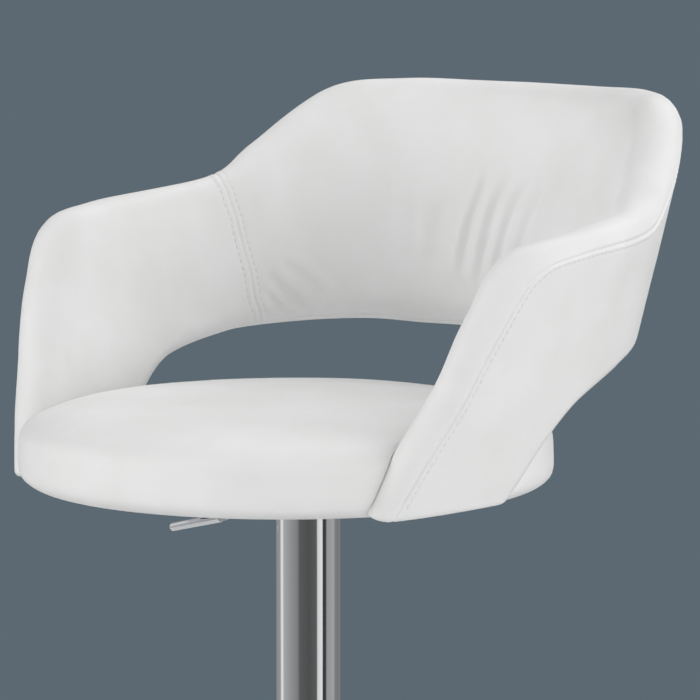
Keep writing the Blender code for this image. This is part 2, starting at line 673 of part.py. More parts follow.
# ---------------------------------------------------------------- what rises with the seat
def build_lift(group, mats):
    bore = CYLINDER_RADIUS - CYLINDER_WALL
    crown = CYLINDER_TOP - CYLINDER_HEAD
    cylinder = turned("gas_cylinder", [
        (CYLINDER_RADIUS - 0.002, CYLINDER_TOP), (CYLINDER_RADIUS, CYLINDER_TOP - 0.0015),
        (CYLINDER_RADIUS, CYLINDER_BOTTOM + 0.001), (CYLINDER_RADIUS - 0.001, CYLINDER_BOTTOM),
        (ROD_RADIUS + SLIDE, CYLINDER_BOTTOM), (ROD_RADIUS + SLIDE, CYLINDER_BOTTOM + CYLINDER_HEAD),
        (bore, CYLINDER_BOTTOM + CYLINDER_HEAD), (bore, crown), (VALVE_RADIUS + SLIDE, crown),
        (VALVE_RADIUS + SLIDE, CYLINDER_TOP)], mats["black"], group, steps=STEPS)
    sleeve = ring("cylinder_sleeve", SLEEVE_RADIUS - SLEEVE_WALL, SLEEVE_RADIUS,
                  PAN_BOTTOM - TOUCH - SLEEVE_LENGTH, PAN_BOTTOM - TOUCH, mats["chrome"], group)
    socket = ring("cylinder_socket", CYLINDER_RADIUS + TOUCH, CYLINDER_RADIUS + 0.0035, PAN_BOTTOM - 0.032,
                  PAN_BOTTOM - TOUCH, mats["black"], group, steps=STEPS)
    return [cylinder, sleeve, socket]


def build_valve(group, mats):
    return turned("valve_button", [
        (0.0, VALVE_TOP), (VALVE_TIP_RADIUS, VALVE_TOP), (VALVE_RADIUS, VALVE_TOP - 0.0015),
        (VALVE_RADIUS, VALVE_TOP - VALVE_LENGTH), (0.0, VALVE_TOP - VALVE_LENGTH)],
        mats["steel"], group, steps=SMALL_STEPS, closed=False)


def plate_bolt_places():
    return [Vector((sx * PLATE_BOLT_X, sy * PLATE_BOLT_Y, SEAT_UNDERSIDE - TOUCH - PLATE_THICKNESS - TOUCH))
            for sx in (1, -1) for sy in (1, -1)]


def build_plate(group, cutters, mats):
    black = mats["black"]
    flat = flat_outline("seat_plate", rounded_rectangle(PLATE_WIDTH, PLATE_DEPTH, PLATE_CORNER),
                        PLATE_THICKNESS, black, group)
    flat.location.z = SEAT_UNDERSIDE - TOUCH - PLATE_THICKNESS / 2
    plate = as_mesh(flat)
    top = SEAT_UNDERSIDE - TOUCH - 0.0005
    up = Vector((0, 0, 1))
    middle = Vector((0, 0, SEAT_UNDERSIDE))
    holes = [(middle - up * 0.006, middle + up * 0.003, PAN_RADIUS - PLATE_THICKNESS / 2)]
    boolean(plate, drills("pan_hole", holes, black, cutters, sides=STEPS))
    pan = turned("pan", [
        (PAN_RADIUS, top), (PAN_RADIUS, PAN_BOTTOM + 0.003), (PAN_RADIUS - 0.003, PAN_BOTTOM),
        (CYLINDER_RADIUS + TOUCH, PAN_BOTTOM), (CYLINDER_RADIUS + TOUCH, PAN_BOTTOM + PLATE_THICKNESS),
        (PAN_RADIUS - 0.004, PAN_BOTTOM + PLATE_THICKNESS),
        (PAN_RADIUS - PLATE_THICKNESS, PAN_BOTTOM + 0.0045),
        (PAN_RADIUS - PLATE_THICKNESS, top)], black, cutters)
    boolean(plate, pan, "UNION")
    slot_height = PAN_DEPTH - LEVER_SLOT_TOP + 0.001
    slot_middle = SEAT_UNDERSIDE - LEVER_SLOT_TOP - slot_height / 2
    slot = block("lever_slot", (0.016, LEVER_SLOT_WIDTH, slot_height), Vector((-PAN_RADIUS, 0, slot_middle)),
                 black, cutters)
    boolean(plate, slot)
    boolean(plate, drills("plate_bolt_holes", [(p - up * 0.002, p + up * 0.005, BOLT_RADIUS + SLIDE)
                                               for p in plate_bolt_places()], black, cutters))
    pieces = [plate]
    for index, seat in enumerate(plate_bolt_places()):
        pieces.append(bolt(f"plate_bolt_{index + 1}", seat, Vector((0, 0, -1)), PLATE_BOLT_LENGTH,
                           BOLT_RADIUS, BOLT_HEAD_RADIUS, BOLT_HEAD_HEIGHT, mats["steel"], group))

    floor = PAN_BOTTOM + PLATE_THICKNESS + TOUCH
    wall, half = BRACKET_WALL, BRACKET_WIDTH / 2
    height = SEAT_UNDERSIDE - 0.0015 - floor
    channel = flat_outline("lever_bracket", [
        (-half, 0), (half, 0), (half, height), (half - wall, height), (half - wall, wall),
        (wall - half, wall), (wall - half, height), (-half, height)], BRACKET_LENGTH, mats["steel"], group)
    channel.location = (LEVER_PIVOT_X, 0, floor)
    channel.rotation_euler = (math.pi / 2, 0, math.pi / 2)
    bracket = as_mesh(channel)
    across = Vector((0, half + 0.002, 0))
    boolean(bracket, drills("lever_pin_hole", [(LEVER_PIVOT - across, LEVER_PIVOT + across,
                                                LEVER_PIN_RADIUS + TOUCH)], mats["steel"], cutters))
    pin_half = Vector((0, half + 0.0015, 0))
    pin = rod_along("lever_pin", [LEVER_PIVOT - pin_half, LEVER_PIVOT + pin_half], LEVER_PIN_RADIUS,
                    mats["steel"], group)
    return pieces + [bracket, pin]


def build_lever(group, cutters, mats):
    level = LEVER_PIVOT.z
    knee = Vector((LEVER_KNEE_X, 0, SEAT_UNDERSIDE - LEVER_KNEE_DROP))
    out = Vector((-math.cos(LEVER_SLOPE), 0, -math.sin(LEVER_SLOPE)))
    tip = knee + out * ((LEVER_KNEE_X - LEVER_TIP_X) / math.cos(LEVER_SLOPE))
    first_bend = Vector((LEVER_BEND_X, 0, level))
    down = (knee - first_bend).normalized()
    route = [Vector((x, 0, level)) for x in (LEVER_INNER_X, LEVER_PIVOT_X + 0.008, LEVER_PIVOT_X - 0.006)]
    route += rounded_corner(first_bend + Vector((0.006, 0, 0)), first_bend, first_bend + down * 0.006, 4)
    route += rounded_corner(knee - down * 0.008, knee, knee + out * 0.008, 4) + [tip]
    lever = as_mesh(rod_along("lever_rod", route, LEVER_RADIUS, mats["steel"], group, sides=12))
    lever.data.shade_smooth()
    lever.data.set_sharp_from_angle(angle=math.radians(50))
    across = Vector((0, LEVER_RADIUS + 0.002, 0))
    boolean(lever, drills("lever_eye", [(LEVER_PIVOT - across, LEVER_PIVOT + across,
                                         LEVER_PIN_RADIUS + SLIDE)], mats["steel"], cutters))
    bore = LEVER_RADIUS + TOUCH
    grip = turned("lever_grip", [
        (0.0, 0.0022), (0.6 * GRIP_RADIUS, 0.0018), (GRIP_RADIUS, 0.0), (GRIP_RADIUS, -GRIP_LENGTH),
        (bore, -GRIP_LENGTH), (bore, TOUCH), (0.0, TOUCH)],
        mats["chrome"], group, steps=SMALL_STEPS, closed=False, location=tip)
    return [lever, facing(grip, out)]


# ---------------------------------------------------------------- seat
def cushion_profile(steps=6):
    """The cushion's outer face, from the middle of its top round the edge and under to the middle."""
    profile = [(0.0, SEAT_UNDERSIDE + SEAT_THICKNESS + SEAT_CROWN)]
    for step in range(1, 2 * steps):
        turn = math.pi / 2 - math.pi * step / (2 * steps)
        out = math.cos(turn) ** SEAT_EDGE_POWER
        height = abs(math.sin(turn)) ** SEAT_EDGE_POWER
        if turn > 0:
            z = SEAT_WAIST + (SEAT_THICKNESS - SEAT_WAIST) * height + SEAT_CROWN * (1 - out * out)
        else:
            z = SEAT_WAIST * (1 - height)
        profile.append((SEAT_RADIUS * out, SEAT_UNDERSIDE + z))
    profile.append((0.0, SEAT_UNDERSIDE))
    return profile


def arm_bracket_frame(side):
    """The bracket's own frame: across the seat, up, and along the band, with its middle on the band."""
    place_on = on_band(ARM_BRACKET_ANGLE, 0.0)
    normal = outward(ARM_BRACKET_ANGLE, 0.0)
    across = Vector((normal.x, normal.y, 0.0)).normalized()
    along = across.cross(Vector((0, 0, 1)))
    shift = along * place_on.dot(along)
    mirror = Vector((side, 1, 1))
    across, shift = across * mirror, shift * mirror
    return across, across.cross(Vector((0, 0, 1))), shift


def leg_face(height):
    """Distance from the column, square to the band, of the bracket's outer face at this height."""
    across, _, _ = arm_bracket_frame(1)
    depth = -(CORE_THICKNESS / 2 + ARM_BRACKET_SETBACK)
    point = on_band(ARM_BRACKET_ANGLE, height) + outward(ARM_BRACKET_ANGLE, height) * depth
    return point.dot(across)


def arm_bracket(name, side, mat, group, grow=0.0, below=0.0):
    """An angle bracket, or with grow the pocket that clears it, opened downwards by below."""
    foot = BOARD_BOTTOM + ARM_BOLT_HEAD_HEIGHT + 2 * TOUCH - grow
    top = SEAT_UNDERSIDE + ARM_BRACKET_RISE + grow
    wall = ARM_BRACKET_WALL + 2 * grow
    low, high = leg_face(foot - SEAT_UNDERSIDE) + grow, leg_face(top - SEAT_UNDERSIDE) + grow
    lean = (high - low) * wall / (top - foot)
    inner = ARM_BRACKET_REACH - grow
    outline = flat_outline(name, [
        (inner, foot - below), (low, foot - below), (low, foot), (high, top), (high - wall, top),
        (low + lean - wall, foot + wall), (inner, foot + wall)],
        ARM_BRACKET_WIDTH + 2 * grow, mat, group)
    across, along, shift = arm_bracket_frame(side)
    outline.matrix_world = Matrix((
        (across.x, 0, along.x, shift.x), (across.y, 0, along.y, shift.y), (0, 1, 0, 0), (0, 0, 0, 1)))
    return as_mesh(outline)


def arm_bolt_places(side):
    """Points on the core's outer face under each bolt head, with the way the heads face."""
    places = []
    mirror = Vector((side, 1, 1))
    for height in ARM_BOLT_HEIGHTS:
        normal = outward(ARM_BRACKET_ANGLE, height)
        seat = on_band(ARM_BRACKET_ANGLE, height) + normal * (CORE_THICKNESS / 2 + TOUCH)
        places.append((seat * mirror, normal * mirror))
    return places


def board_bolt_places(side):
    across, along, shift = arm_bracket_frame(side)
    level = BOARD_BOTTOM + ARM_BOLT_HEAD_HEIGHT + TOUCH
    seat = shift + across * BOARD_BOLT_FROM_AXIS + Vector((0, 0, level))
    return [seat + along * offset * BOARD_BOLT_SPACING / 2 for offset in (1, -1)]


def build_arm_fixings(group, cutters, mats):
    """Brackets and their bolts, and the cutters that clear them in the parts they pass through."""
    steel, up = mats["steel"], Vector((0, 0, 1))
    pieces, core_holes, leg_holes, head_pockets, end_pockets, board_holes = [], [], [], [], [], []
    for side, word in ((1, "left"), (-1, "right")):
        bracket = arm_bracket(f"arm_bracket_{word}", side, mats["black"], group)
        pieces.append(bracket)
        for index, (seat, normal) in enumerate(arm_bolt_places(side)):
            pieces.append(bolt(f"arm_bolt_{word}_{index + 1}", seat, normal, ARM_BOLT_LENGTH,
                               ARM_BOLT_RADIUS, ARM_BOLT_HEAD_RADIUS, ARM_BOLT_HEAD_HEIGHT, steel, group))
            inside = seat - normal * (ARM_BOLT_LENGTH + 0.0015)
            core_holes.append((seat + normal * 0.002, inside, ARM_BOLT_RADIUS + SLIDE))
            end_pockets.append((seat, inside, ARM_BOLT_RADIUS + 0.001))
            head_pockets.append((seat - normal * 0.002, seat + normal * (ARM_BOLT_HEAD_HEIGHT + 0.001),
                                 ARM_BOLT_HEAD_RADIUS + 0.001))
        for index, seat in enumerate(board_bolt_places(side)):
            pieces.append(bolt(f"board_bolt_{word}_{index + 1}", seat, -up, BOARD_BOLT_LENGTH,
                               ARM_BOLT_RADIUS, ARM_BOLT_HEAD_RADIUS, ARM_BOLT_HEAD_HEIGHT, steel, group))
            leg_holes.append((seat - up * 0.002, seat + up * 0.006, ARM_BOLT_RADIUS + SLIDE))
            board_holes.append((seat, seat + up * (BOARD_BOLT_LENGTH + 0.0008), ARM_BOLT_RADIUS + TOUCH))
    brackets = [piece for piece in pieces if piece.name.startswith("arm_bracket")]
    leg_drill = drills("bracket_holes", leg_holes + core_holes, steel, cutters)
    for bracket in brackets:
        boolean(bracket, leg_drill)
    cuts = {
        "core": drills("core_holes", core_holes, steel, cutters),
        "heads": drills("bolt_head_pockets", head_pockets, steel, cutters),
        "ends": drills("bolt_end_pockets", end_pockets, steel, cutters),
        "board": drills("board_holes", board_holes, steel, cutters),
    }
    return pieces, cuts


def build_seat(group, cutters, mats):
    up, centre = Vector((0, 0, 1)), Vector((0, -SEAT_FORWARD, 0))
    leather, wood = mats["leather"], mats["wood"]
    inner_pad = loft("band_inner_pad", band_rings(inner_pad_outline), leather, group)
    outer_pad = loft("band_outer_pad", band_rings(outer_pad_outline), leather, group)
    core = loft("band_core", band_rings(core_outline), wood, group)
    envelope = loft("band_envelope", band_rings(envelope_outline, NOTCH_FIT), leather, cutters)
    cushion = turned("seat_cushion", cushion_profile(), leather, group, steps=WIDE_STEPS, closed=False,
                     location=centre)
    board = disc("seat_board", BOARD_RADIUS, BOARD_BOTTOM, BOARD_TOP, wood, group, steps=WIDE_STEPS)
    lining = disc("seat_lining", LINING_RADIUS, SEAT_UNDERSIDE, LINING_TOP, mats["fabric"], group,
                  steps=WIDE_STEPS)
    recess = disc("board_recess", BOARD_RADIUS + TOUCH, SEAT_UNDERSIDE - 0.005, BOARD_TOP + TOUCH, wood,
                  cutters, steps=WIDE_STEPS)
    for piece in (board, lining, recess):
        piece.location = centre

    fixings, cuts = build_arm_fixings(group, cutters, mats)
    opened = BOARD_BOLT_HEAD_ROOM
    for side, word in ((1, "left"), (-1, "right")):
        pocket = arm_bracket(f"bracket_pocket_{word}", side, leather, cutters, grow=BRACKET_FIT)
        slot = arm_bracket(f"board_slot_{word}", side, wood, cutters, grow=TOUCH, below=opened)
        boolean(cushion, pocket)
        boolean(inner_pad, pocket)
        boolean(board, slot)
    boolean(cushion, recess)
    boolean(cushion, envelope)
    boolean(core, cuts["core"])
    boolean(outer_pad, cuts["heads"])
    boolean(inner_pad, cuts["ends"])
    boolean(board, cuts["board"])
    plate_holes = drills("plate_bolt_bores", [(p - up * 0.001, p + up * 0.018, BOLT_RADIUS + TOUCH)
                                              for p in plate_bolt_places()], wood, cutters)
    boolean(board, plate_holes)
    boolean(lining, plate_holes)
    return [inner_pad, outer_pad, core, cushion, board, lining] + fixings


# ---------------------------------------------------------------- assembly
def axis_empty(name, at, parent, group):
    empty = bpy.data.objects.new(name, None)
    empty.empty_display_size = 0.03
    empty.location = at
    group.objects.link(empty)
    hang([empty], parent)
    return empty


def hang(pieces, parent):
    """Parents the pieces to an axis and leaves them where they stand."""
    if parent is None:
        return
    bpy.context.view_layer.update()
    for piece in pieces:
        piece.parent = parent
        piece.matrix_parent_inverse = parent.matrix_world.inverted()


def build():
    clear_scene()
    stool = collection("adjustable_swivel_stool")
    cutters = collection("cutters", hidden=True)
    mats = {
        "chrome": material("polished_chrome", (0.80, 0.80, 0.82), 0.08, 1.0),
        "steel": material("zinc_plated_steel", (0.62, 0.63, 0.65), 0.35, 1.0),
        "black": material("black_painted_steel", (0.03, 0.03, 0.03), 0.45),
        "iron": material("cast_iron", (0.10, 0.10, 0.11), 0.70, 0.6),
        "brass": material("brass", (0.70, 0.52, 0.22), 0.35, 1.0),
        "rubber": material("black_rubber", (0.02, 0.02, 0.02), 0.70),
        "nylon": material("moulded_nylon", (0.04, 0.04, 0.04), 0.45),
        "foam": material("closed_cell_foam", (0.05, 0.05, 0.05), 0.90),
        "leather": material("white_leatherette", (0.80, 0.80, 0.80), 0.45),
        "wood": material("plywood", (0.62, 0.44, 0.26), 0.60),
        "fabric": material("black_lining", (0.02, 0.02, 0.02), 0.95),
    }
    base = axis_empty("base_frame", (0, 0, 0), None, stool)
    swivel = axis_empty("seat_swivel_axis", (0, 0, ROD_SHOULDER), base, stool)
    lift = axis_empty("height_slide_axis", (0, 0, CYLINDER_BOTTOM), swivel, stool)
    valve = axis_empty("valve_press_axis", (0, 0, VALVE_TOP), lift, stool)
    lever = axis_empty("lever_lift_axis", LEVER_PIVOT, lift, stool)
    hang(build_base(stool, cutters, mats), base)
    hang(build_rod(stool, mats), swivel)
    hang(build_lift(stool, mats), lift)
    hang(build_plate(stool, cutters, mats), lift)
    hang(build_seat(stool, cutters, mats), lift)
    hang([build_valve(stool, mats)], valve)
    hang(build_lever(stool, cutters, mats), lever)


build()
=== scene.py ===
import json
import math

import bmesh
import bpy
import numpy as np
from mathutils import Matrix, Vector
from mathutils.bvhtree import BVHTree

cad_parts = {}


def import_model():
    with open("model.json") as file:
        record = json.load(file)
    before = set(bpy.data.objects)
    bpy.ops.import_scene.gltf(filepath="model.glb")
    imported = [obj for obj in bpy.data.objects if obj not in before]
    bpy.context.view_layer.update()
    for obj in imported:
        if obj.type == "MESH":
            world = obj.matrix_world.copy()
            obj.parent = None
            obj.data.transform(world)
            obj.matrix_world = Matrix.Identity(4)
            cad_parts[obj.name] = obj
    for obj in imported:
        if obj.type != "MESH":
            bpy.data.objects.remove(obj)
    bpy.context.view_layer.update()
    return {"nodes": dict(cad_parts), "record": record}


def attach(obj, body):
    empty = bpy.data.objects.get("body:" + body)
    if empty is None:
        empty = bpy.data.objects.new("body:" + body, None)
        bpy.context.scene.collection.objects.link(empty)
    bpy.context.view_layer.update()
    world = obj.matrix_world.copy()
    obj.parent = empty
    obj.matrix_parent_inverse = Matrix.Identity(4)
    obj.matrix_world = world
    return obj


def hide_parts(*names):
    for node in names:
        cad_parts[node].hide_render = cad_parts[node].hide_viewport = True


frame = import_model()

mm = 0.001
dice = np.random.default_rng(7)


def toLinear(hexColour):
    parts = [int(hexColour[i:i + 2], 16) / 255 for i in (1, 3, 5)]
    return tuple(c / 12.92 if c <= 0.04045 else ((c + 0.055) / 1.055) ** 2.4 for c in parts) + (1.0,)


def addNode(tree, kind, links=(), **settings):
    # settings name a socket (spaces as _) or else a property of the node; links are (output, input name)
    node = tree.nodes.new(kind)
    sockets = {}
    for name, value in settings.items():
        if hasattr(node, name):
            setattr(node, name, value)
        else:
            sockets[name.replace("_", " ")] = value
    for name, value in sockets.items():
        node.inputs[name].default_value = value
    for output, name in links:
        tree.links.new(output, node.inputs[name])
    return node


def newMaterial(name, **settings):
    mat = bpy.data.materials.new(name)
    mat.use_nodes = True
    shader = mat.node_tree.nodes["Principled BSDF"]
    for key, value in settings.items():
        shader.inputs[key.replace("_", " ")].default_value = value
    return mat, mat.node_tree, shader


def perMetre(sizeInMm):
    return 1000.0 / sizeInMm


def deselectAll():
    if bpy.context.mode != "OBJECT":
        bpy.ops.object.mode_set(mode="OBJECT")
    bpy.ops.object.select_all(action="DESELECT")


def applyModifier(obj, kind, **settings):
    deselectAll()
    obj.select_set(True)
    bpy.context.view_layer.objects.active = obj
    modifier = obj.modifiers.new(kind.title(), kind)
    for key, value in settings.items():
        setattr(modifier, key, value)
    bpy.ops.object.modifier_apply(modifier=modifier.name)


def finishPiece(obj, mat, body, replaced=(), smoothAngle=35):
    # places go into the mesh, and the piece joins its body
    deselectAll()
    obj.select_set(True)
    bpy.context.view_layer.objects.active = obj
    bpy.ops.object.transform_apply(location=True, rotation=True, scale=True)
    if smoothAngle:
        bpy.ops.object.shade_smooth_by_angle(angle=math.radians(smoothAngle))
    obj.data.materials.clear()
    obj.data.materials.append(mat)
    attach(obj, body)
    if replaced:
        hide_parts(*replaced)
    return obj


def mergeAndFaceOut(obj, distance=0.00002):
    deselectAll()
    obj.select_set(True)
    bpy.context.view_layer.objects.active = obj
    bpy.ops.object.mode_set(mode="EDIT")
    bpy.ops.mesh.select_all(action="SELECT")
    bpy.ops.mesh.remove_doubles(threshold=distance)
    bpy.ops.mesh.normals_make_consistent(inside=False)
    bpy.ops.object.mode_set(mode="OBJECT")


def turnPiece(name, profile, steps=96, closed=True):
    # a single vertex is drawn from corner to corner of the profile, then spun round the column
    deselectAll()
    bpy.ops.mesh.primitive_plane_add(size=0.001, location=(0, 0, 0))
    obj = bpy.context.object
    obj.name = name
    bpy.ops.object.mode_set(mode="EDIT")
    bpy.ops.mesh.select_all(action="SELECT")
    bpy.ops.mesh.merge(type="CENTER")
    corners = [Vector((r, 0, z)) for r, z in profile]
    if closed:
        corners.append(corners[0])
    bpy.ops.transform.translate(value=corners[0])
    for here, there in zip(corners, corners[1:]):
        bpy.ops.mesh.extrude_vertices_move(TRANSFORM_OT_translate={"value": there - here})
    bpy.ops.mesh.select_all(action="SELECT")
    bpy.ops.mesh.spin(steps=steps, angle=2 * math.pi, center=(0, 0, 0), axis=(0, 0, 1))
    bpy.ops.object.mode_set(mode="OBJECT")
    mergeAndFaceOut(obj)
    return obj


def softenEdges(obj, width, segments=3, angle=30):
    applyModifier(obj, "BEVEL", width=width, segments=segments, limit_method="ANGLE",
                  angle_limit=math.radians(angle), miter_outer="MITER_ARC")


def bendBar(name, points, radius, sides=24):
    # a round bar drawn as a path and made a mesh
    deselectAll()
    bpy.ops.curve.primitive_nurbs_path_add(location=(0, 0, 0))
    obj = bpy.context.object
    obj.name = name
    curve = obj.data
    curve.splines.clear()
    spline = curve.splines.new("POLY")
    spline.points.add(len(points) - 1)
    for point, place in zip(spline.points, points):
        point.co = (*place, 1.0)
    curve.bevel_depth = radius
    curve.bevel_resolution = sides // 2 - 2
    curve.use_fill_caps = True
    bpy.ops.object.convert(target="MESH")
    mergeAndFaceOut(obj)
    return obj


def arcPoints(centre, radius, fromAngle, toAngle, steps, z):
    turns = np.linspace(math.radians(fromAngle), math.radians(toAngle), steps)
    return [Vector((centre[0] + radius * math.cos(a), centre[1] + radius * math.sin(a), z)) for a in turns]


print("tools ready")


def leatherette():
    # polyurethane-coated fabric: white, an embossed pebble grain under a satin topcoat, so its highlights
    # are wide and milky. The real pebbles are about 0.8 mm; they are drawn at 1.5 mm, so that they show.
    mat, tree, shader = newMaterial("whitePolyurethaneLeatherette", Roughness=0.46, IOR=1.47,
                                    Coat_Weight=0.10, Coat_Roughness=0.30)
    place = addNode(tree, "ShaderNodeTexCoord").outputs["Object"]
    pebbles = addNode(tree, "ShaderNodeTexVoronoi", [(place, "Vector")], feature="DISTANCE_TO_EDGE",
                      Scale=perMetre(1.5))
    valley = addNode(tree, "ShaderNodeMapRange", [(pebbles.outputs["Distance"], "Value")], From_Max=0.35)
    pores = addNode(tree, "ShaderNodeTexNoise", [(place, "Vector")], Scale=perMetre(0.6), Detail=3.0)
    waves = addNode(tree, "ShaderNodeTexNoise", [(place, "Vector")], Scale=perMetre(28), Detail=2.0)
    # handling and dust: the tone drifts by a percent or two over a hand's width
    tone = addNode(tree, "ShaderNodeTexNoise", [(place, "Vector")], Scale=perMetre(70), Detail=3.0)
    colour = addNode(tree, "ShaderNodeValToRGB", [(tone.outputs["Fac"], "Fac")])
    colour.color_ramp.elements[0].position = 0.30
    colour.color_ramp.elements[0].color = toLinear("#E4E4E3")
    colour.color_ramp.elements[1].position = 0.70
    colour.color_ramp.elements[1].color = toLinear("#EAEAEA")
    tree.links.new(colour.outputs["Color"], shader.inputs["Base Color"])
    polish = addNode(tree, "ShaderNodeMapRange", [(waves.outputs["Fac"], "Value")], From_Min=0.3,
                     From_Max=0.7, To_Min=0.42, To_Max=0.52)
    tree.links.new(polish.outputs["Result"], shader.inputs["Roughness"])
    swell = addNode(tree, "ShaderNodeBump", [(waves.outputs["Fac"], "Height")], Strength=0.12,
                    Distance=1.2 * mm)
    grain = addNode(tree, "ShaderNodeBump", [(valley.outputs["Result"], "Height"),
                                             (swell.outputs["Normal"], "Normal")], Strength=0.22,
                                             Distance=0.12 * mm)
    fine = addNode(tree, "ShaderNodeBump", [(pores.outputs["Fac"], "Height"),
                                            (grain.outputs["Normal"], "Normal")],
                   Strength=0.10, Distance=0.05 * mm)
    tree.links.new(fine.outputs["Normal"], shader.inputs["Normal"])
    return mat


def sewingThread():
    # bonded polyester thread, two plies twisted at 0.7 mm a turn: a touch greyer and duller than the cover
    mat, tree, shader = newMaterial("bondedPolyesterThread", Roughness=0.62, IOR=1.5)
    place = addNode(tree, "ShaderNodeTexCoord").outputs["Object"]
    twist = addNode(tree, "ShaderNodeTexNoise", [(place, "Vector")], Scale=perMetre(0.7), Detail=1.0)
    colour = addNode(tree, "ShaderNodeValToRGB", [(twist.outputs["Fac"], "Fac")])
    colour.color_ramp.elements[0].color = toLinear("#D2D2D0")
    colour.color_ramp.elements[1].color = toLinear("#E6E6E4")
    tree.links.new(colour.outputs["Color"], shader.inputs["Base Color"])
    ply = addNode(tree, "ShaderNodeBump", [(twist.outputs["Fac"], "Height")], Strength=0.4,
                  Distance=0.1 * mm)
    tree.links.new(ply.outputs["Normal"], shader.inputs["Normal"])
    return mat


def chromePlate():
    # bright nickel-chrome plating on polished tube: a cool mirror, very slightly rippled by the tube's own
    # drawing marks and with faint wiping haze
    mat, tree, shader = newMaterial("chromePlatedSteel", Metallic=1.0)
    shader.inputs["Base Color"].default_value = toLinear("#E3E4E6")
    place = addNode(tree, "ShaderNodeTexCoord").outputs["Object"]
    haze = addNode(tree, "ShaderNodeTexNoise", [(place, "Vector")], Scale=perMetre(35), Detail=4.0)
    polish = addNode(tree, "ShaderNodeMapRange", [(haze.outputs["Fac"], "Value")], From_Min=0.35,
                     From_Max=0.75, To_Min=0.035, To_Max=0.10)
    tree.links.new(polish.outputs["Result"], shader.inputs["Roughness"])
    stretch = addNode(tree, "ShaderNodeMapping", [(place, "Vector")])
    stretch.inputs["Scale"].default_value = (1.0, 1.0, 0.12)
    ripple = addNode(tree, "ShaderNodeTexNoise", [(stretch.outputs["Vector"], "Vector")],
                     Scale=perMetre(18), Detail=2.0)
    bump = addNode(tree, "ShaderNodeBump", [(ripple.outputs["Fac"], "Height")], Strength=0.10,
                   Distance=0.4 * mm)
    tree.links.new(bump.outputs["Normal"], shader.inputs["Normal"])
    return mat


def zincPlate():
    # bright zinc on cold-headed and rolled steel: a soft blue-grey metal with a fine crystalline mottle
    mat, tree, shader = newMaterial("zincPlatedSteel", Metallic=1.0)
    place = addNode(tree, "ShaderNodeTexCoord").outputs["Object"]
    mottle = addNode(tree, "ShaderNodeTexVoronoi", [(place, "Vector")], Scale=perMetre(2.2))
    colour = addNode(tree, "ShaderNodeValToRGB", [(mottle.outputs["Distance"], "Fac")])
    colour.color_ramp.elements[0].color = toLinear("#B9BEC4")
    colour.color_ramp.elements[1].color = toLinear("#A2A7AC")
    tree.links.new(colour.outputs["Color"], shader.inputs["Base Color"])
    polish = addNode(tree, "ShaderNodeMapRange", [(mottle.outputs["Distance"], "Value")], To_Min=0.28,
                     To_Max=0.44)
    tree.links.new(polish.outputs["Result"], shader.inputs["Roughness"])
    return mat


def speckled(name, dark, light, roughness, grainMm, bumpMm, metallic=0.0, strength=0.35, **more):
    # one recipe for plain coatings and castings: a fine grain that moves colour, gloss and height together
    mat, tree, shader = newMaterial(name, Metallic=metallic, **more)
    place = addNode(tree, "ShaderNodeTexCoord").outputs["Object"]
    grain = addNode(tree, "ShaderNodeTexNoise", [(place, "Vector")], Scale=perMetre(grainMm), Detail=3.0)
    colour = addNode(tree, "ShaderNodeValToRGB", [(grain.outputs["Fac"], "Fac")])
    colour.color_ramp.elements[0].position = 0.35
    colour.color_ramp.elements[0].color = toLinear(dark)
    colour.color_ramp.elements[1].position = 0.65
    colour.color_ramp.elements[1].color = toLinear(light)
    tree.links.new(colour.outputs["Color"], shader.inputs["Base Color"])
    polish = addNode(tree, "ShaderNodeMapRange", [(grain.outputs["Fac"], "Value")], From_Min=0.3,
                     From_Max=0.7, To_Min=roughness - 0.05, To_Max=roughness + 0.07)
    tree.links.new(polish.outputs["Result"], shader.inputs["Roughness"])
    bump = addNode(tree, "ShaderNodeBump", [(grain.outputs["Fac"], "Height")], Strength=strength,
                   Distance=bumpMm * mm)
    tree.links.new(bump.outputs["Normal"], shader.inputs["Normal"])
    return mat


def birchPly():
    # rotary-cut birch veneers: pale faces with long soft grain, and dark glue lines on the edges
    mat, tree, shader = newMaterial("birchPlywood", Roughness=0.6)
    place = addNode(tree, "ShaderNodeTexCoord").outputs["Object"]
    stretch = addNode(tree, "ShaderNodeMapping", [(place, "Vector")])
    stretch.inputs["Scale"].default_value = (0.08, 1.0, 1.0)
    grain = addNode(tree, "ShaderNodeTexNoise", [(stretch.outputs["Vector"], "Vector")], Scale=perMetre(4),
                    Detail=4.0)
    plies = addNode(tree, "ShaderNodeTexWave", [(place, "Vector")], bands_direction="Z",
                    Scale=perMetre(3.0) / 20, Distortion=0.6)
    both = addNode(tree, "ShaderNodeMath", [(grain.outputs["Fac"], 0), (plies.outputs["Fac"], 1)],
                   operation="MULTIPLY")
    colour = addNode(tree, "ShaderNodeValToRGB", [(both.outputs["Value"], "Fac")])
    colour.color_ramp.elements[0].color = toLinear("#A87F52")
    colour.color_ramp.elements[1].color = toLinear("#D9B98B")
    tree.links.new(colour.outputs["Color"], shader.inputs["Base Color"])
    bump = addNode(tree, "ShaderNodeBump", [(grain.outputs["Fac"], "Height")], Strength=0.2,
                   Distance=0.1 * mm)
    tree.links.new(bump.outputs["Normal"], shader.inputs["Normal"])
    return mat


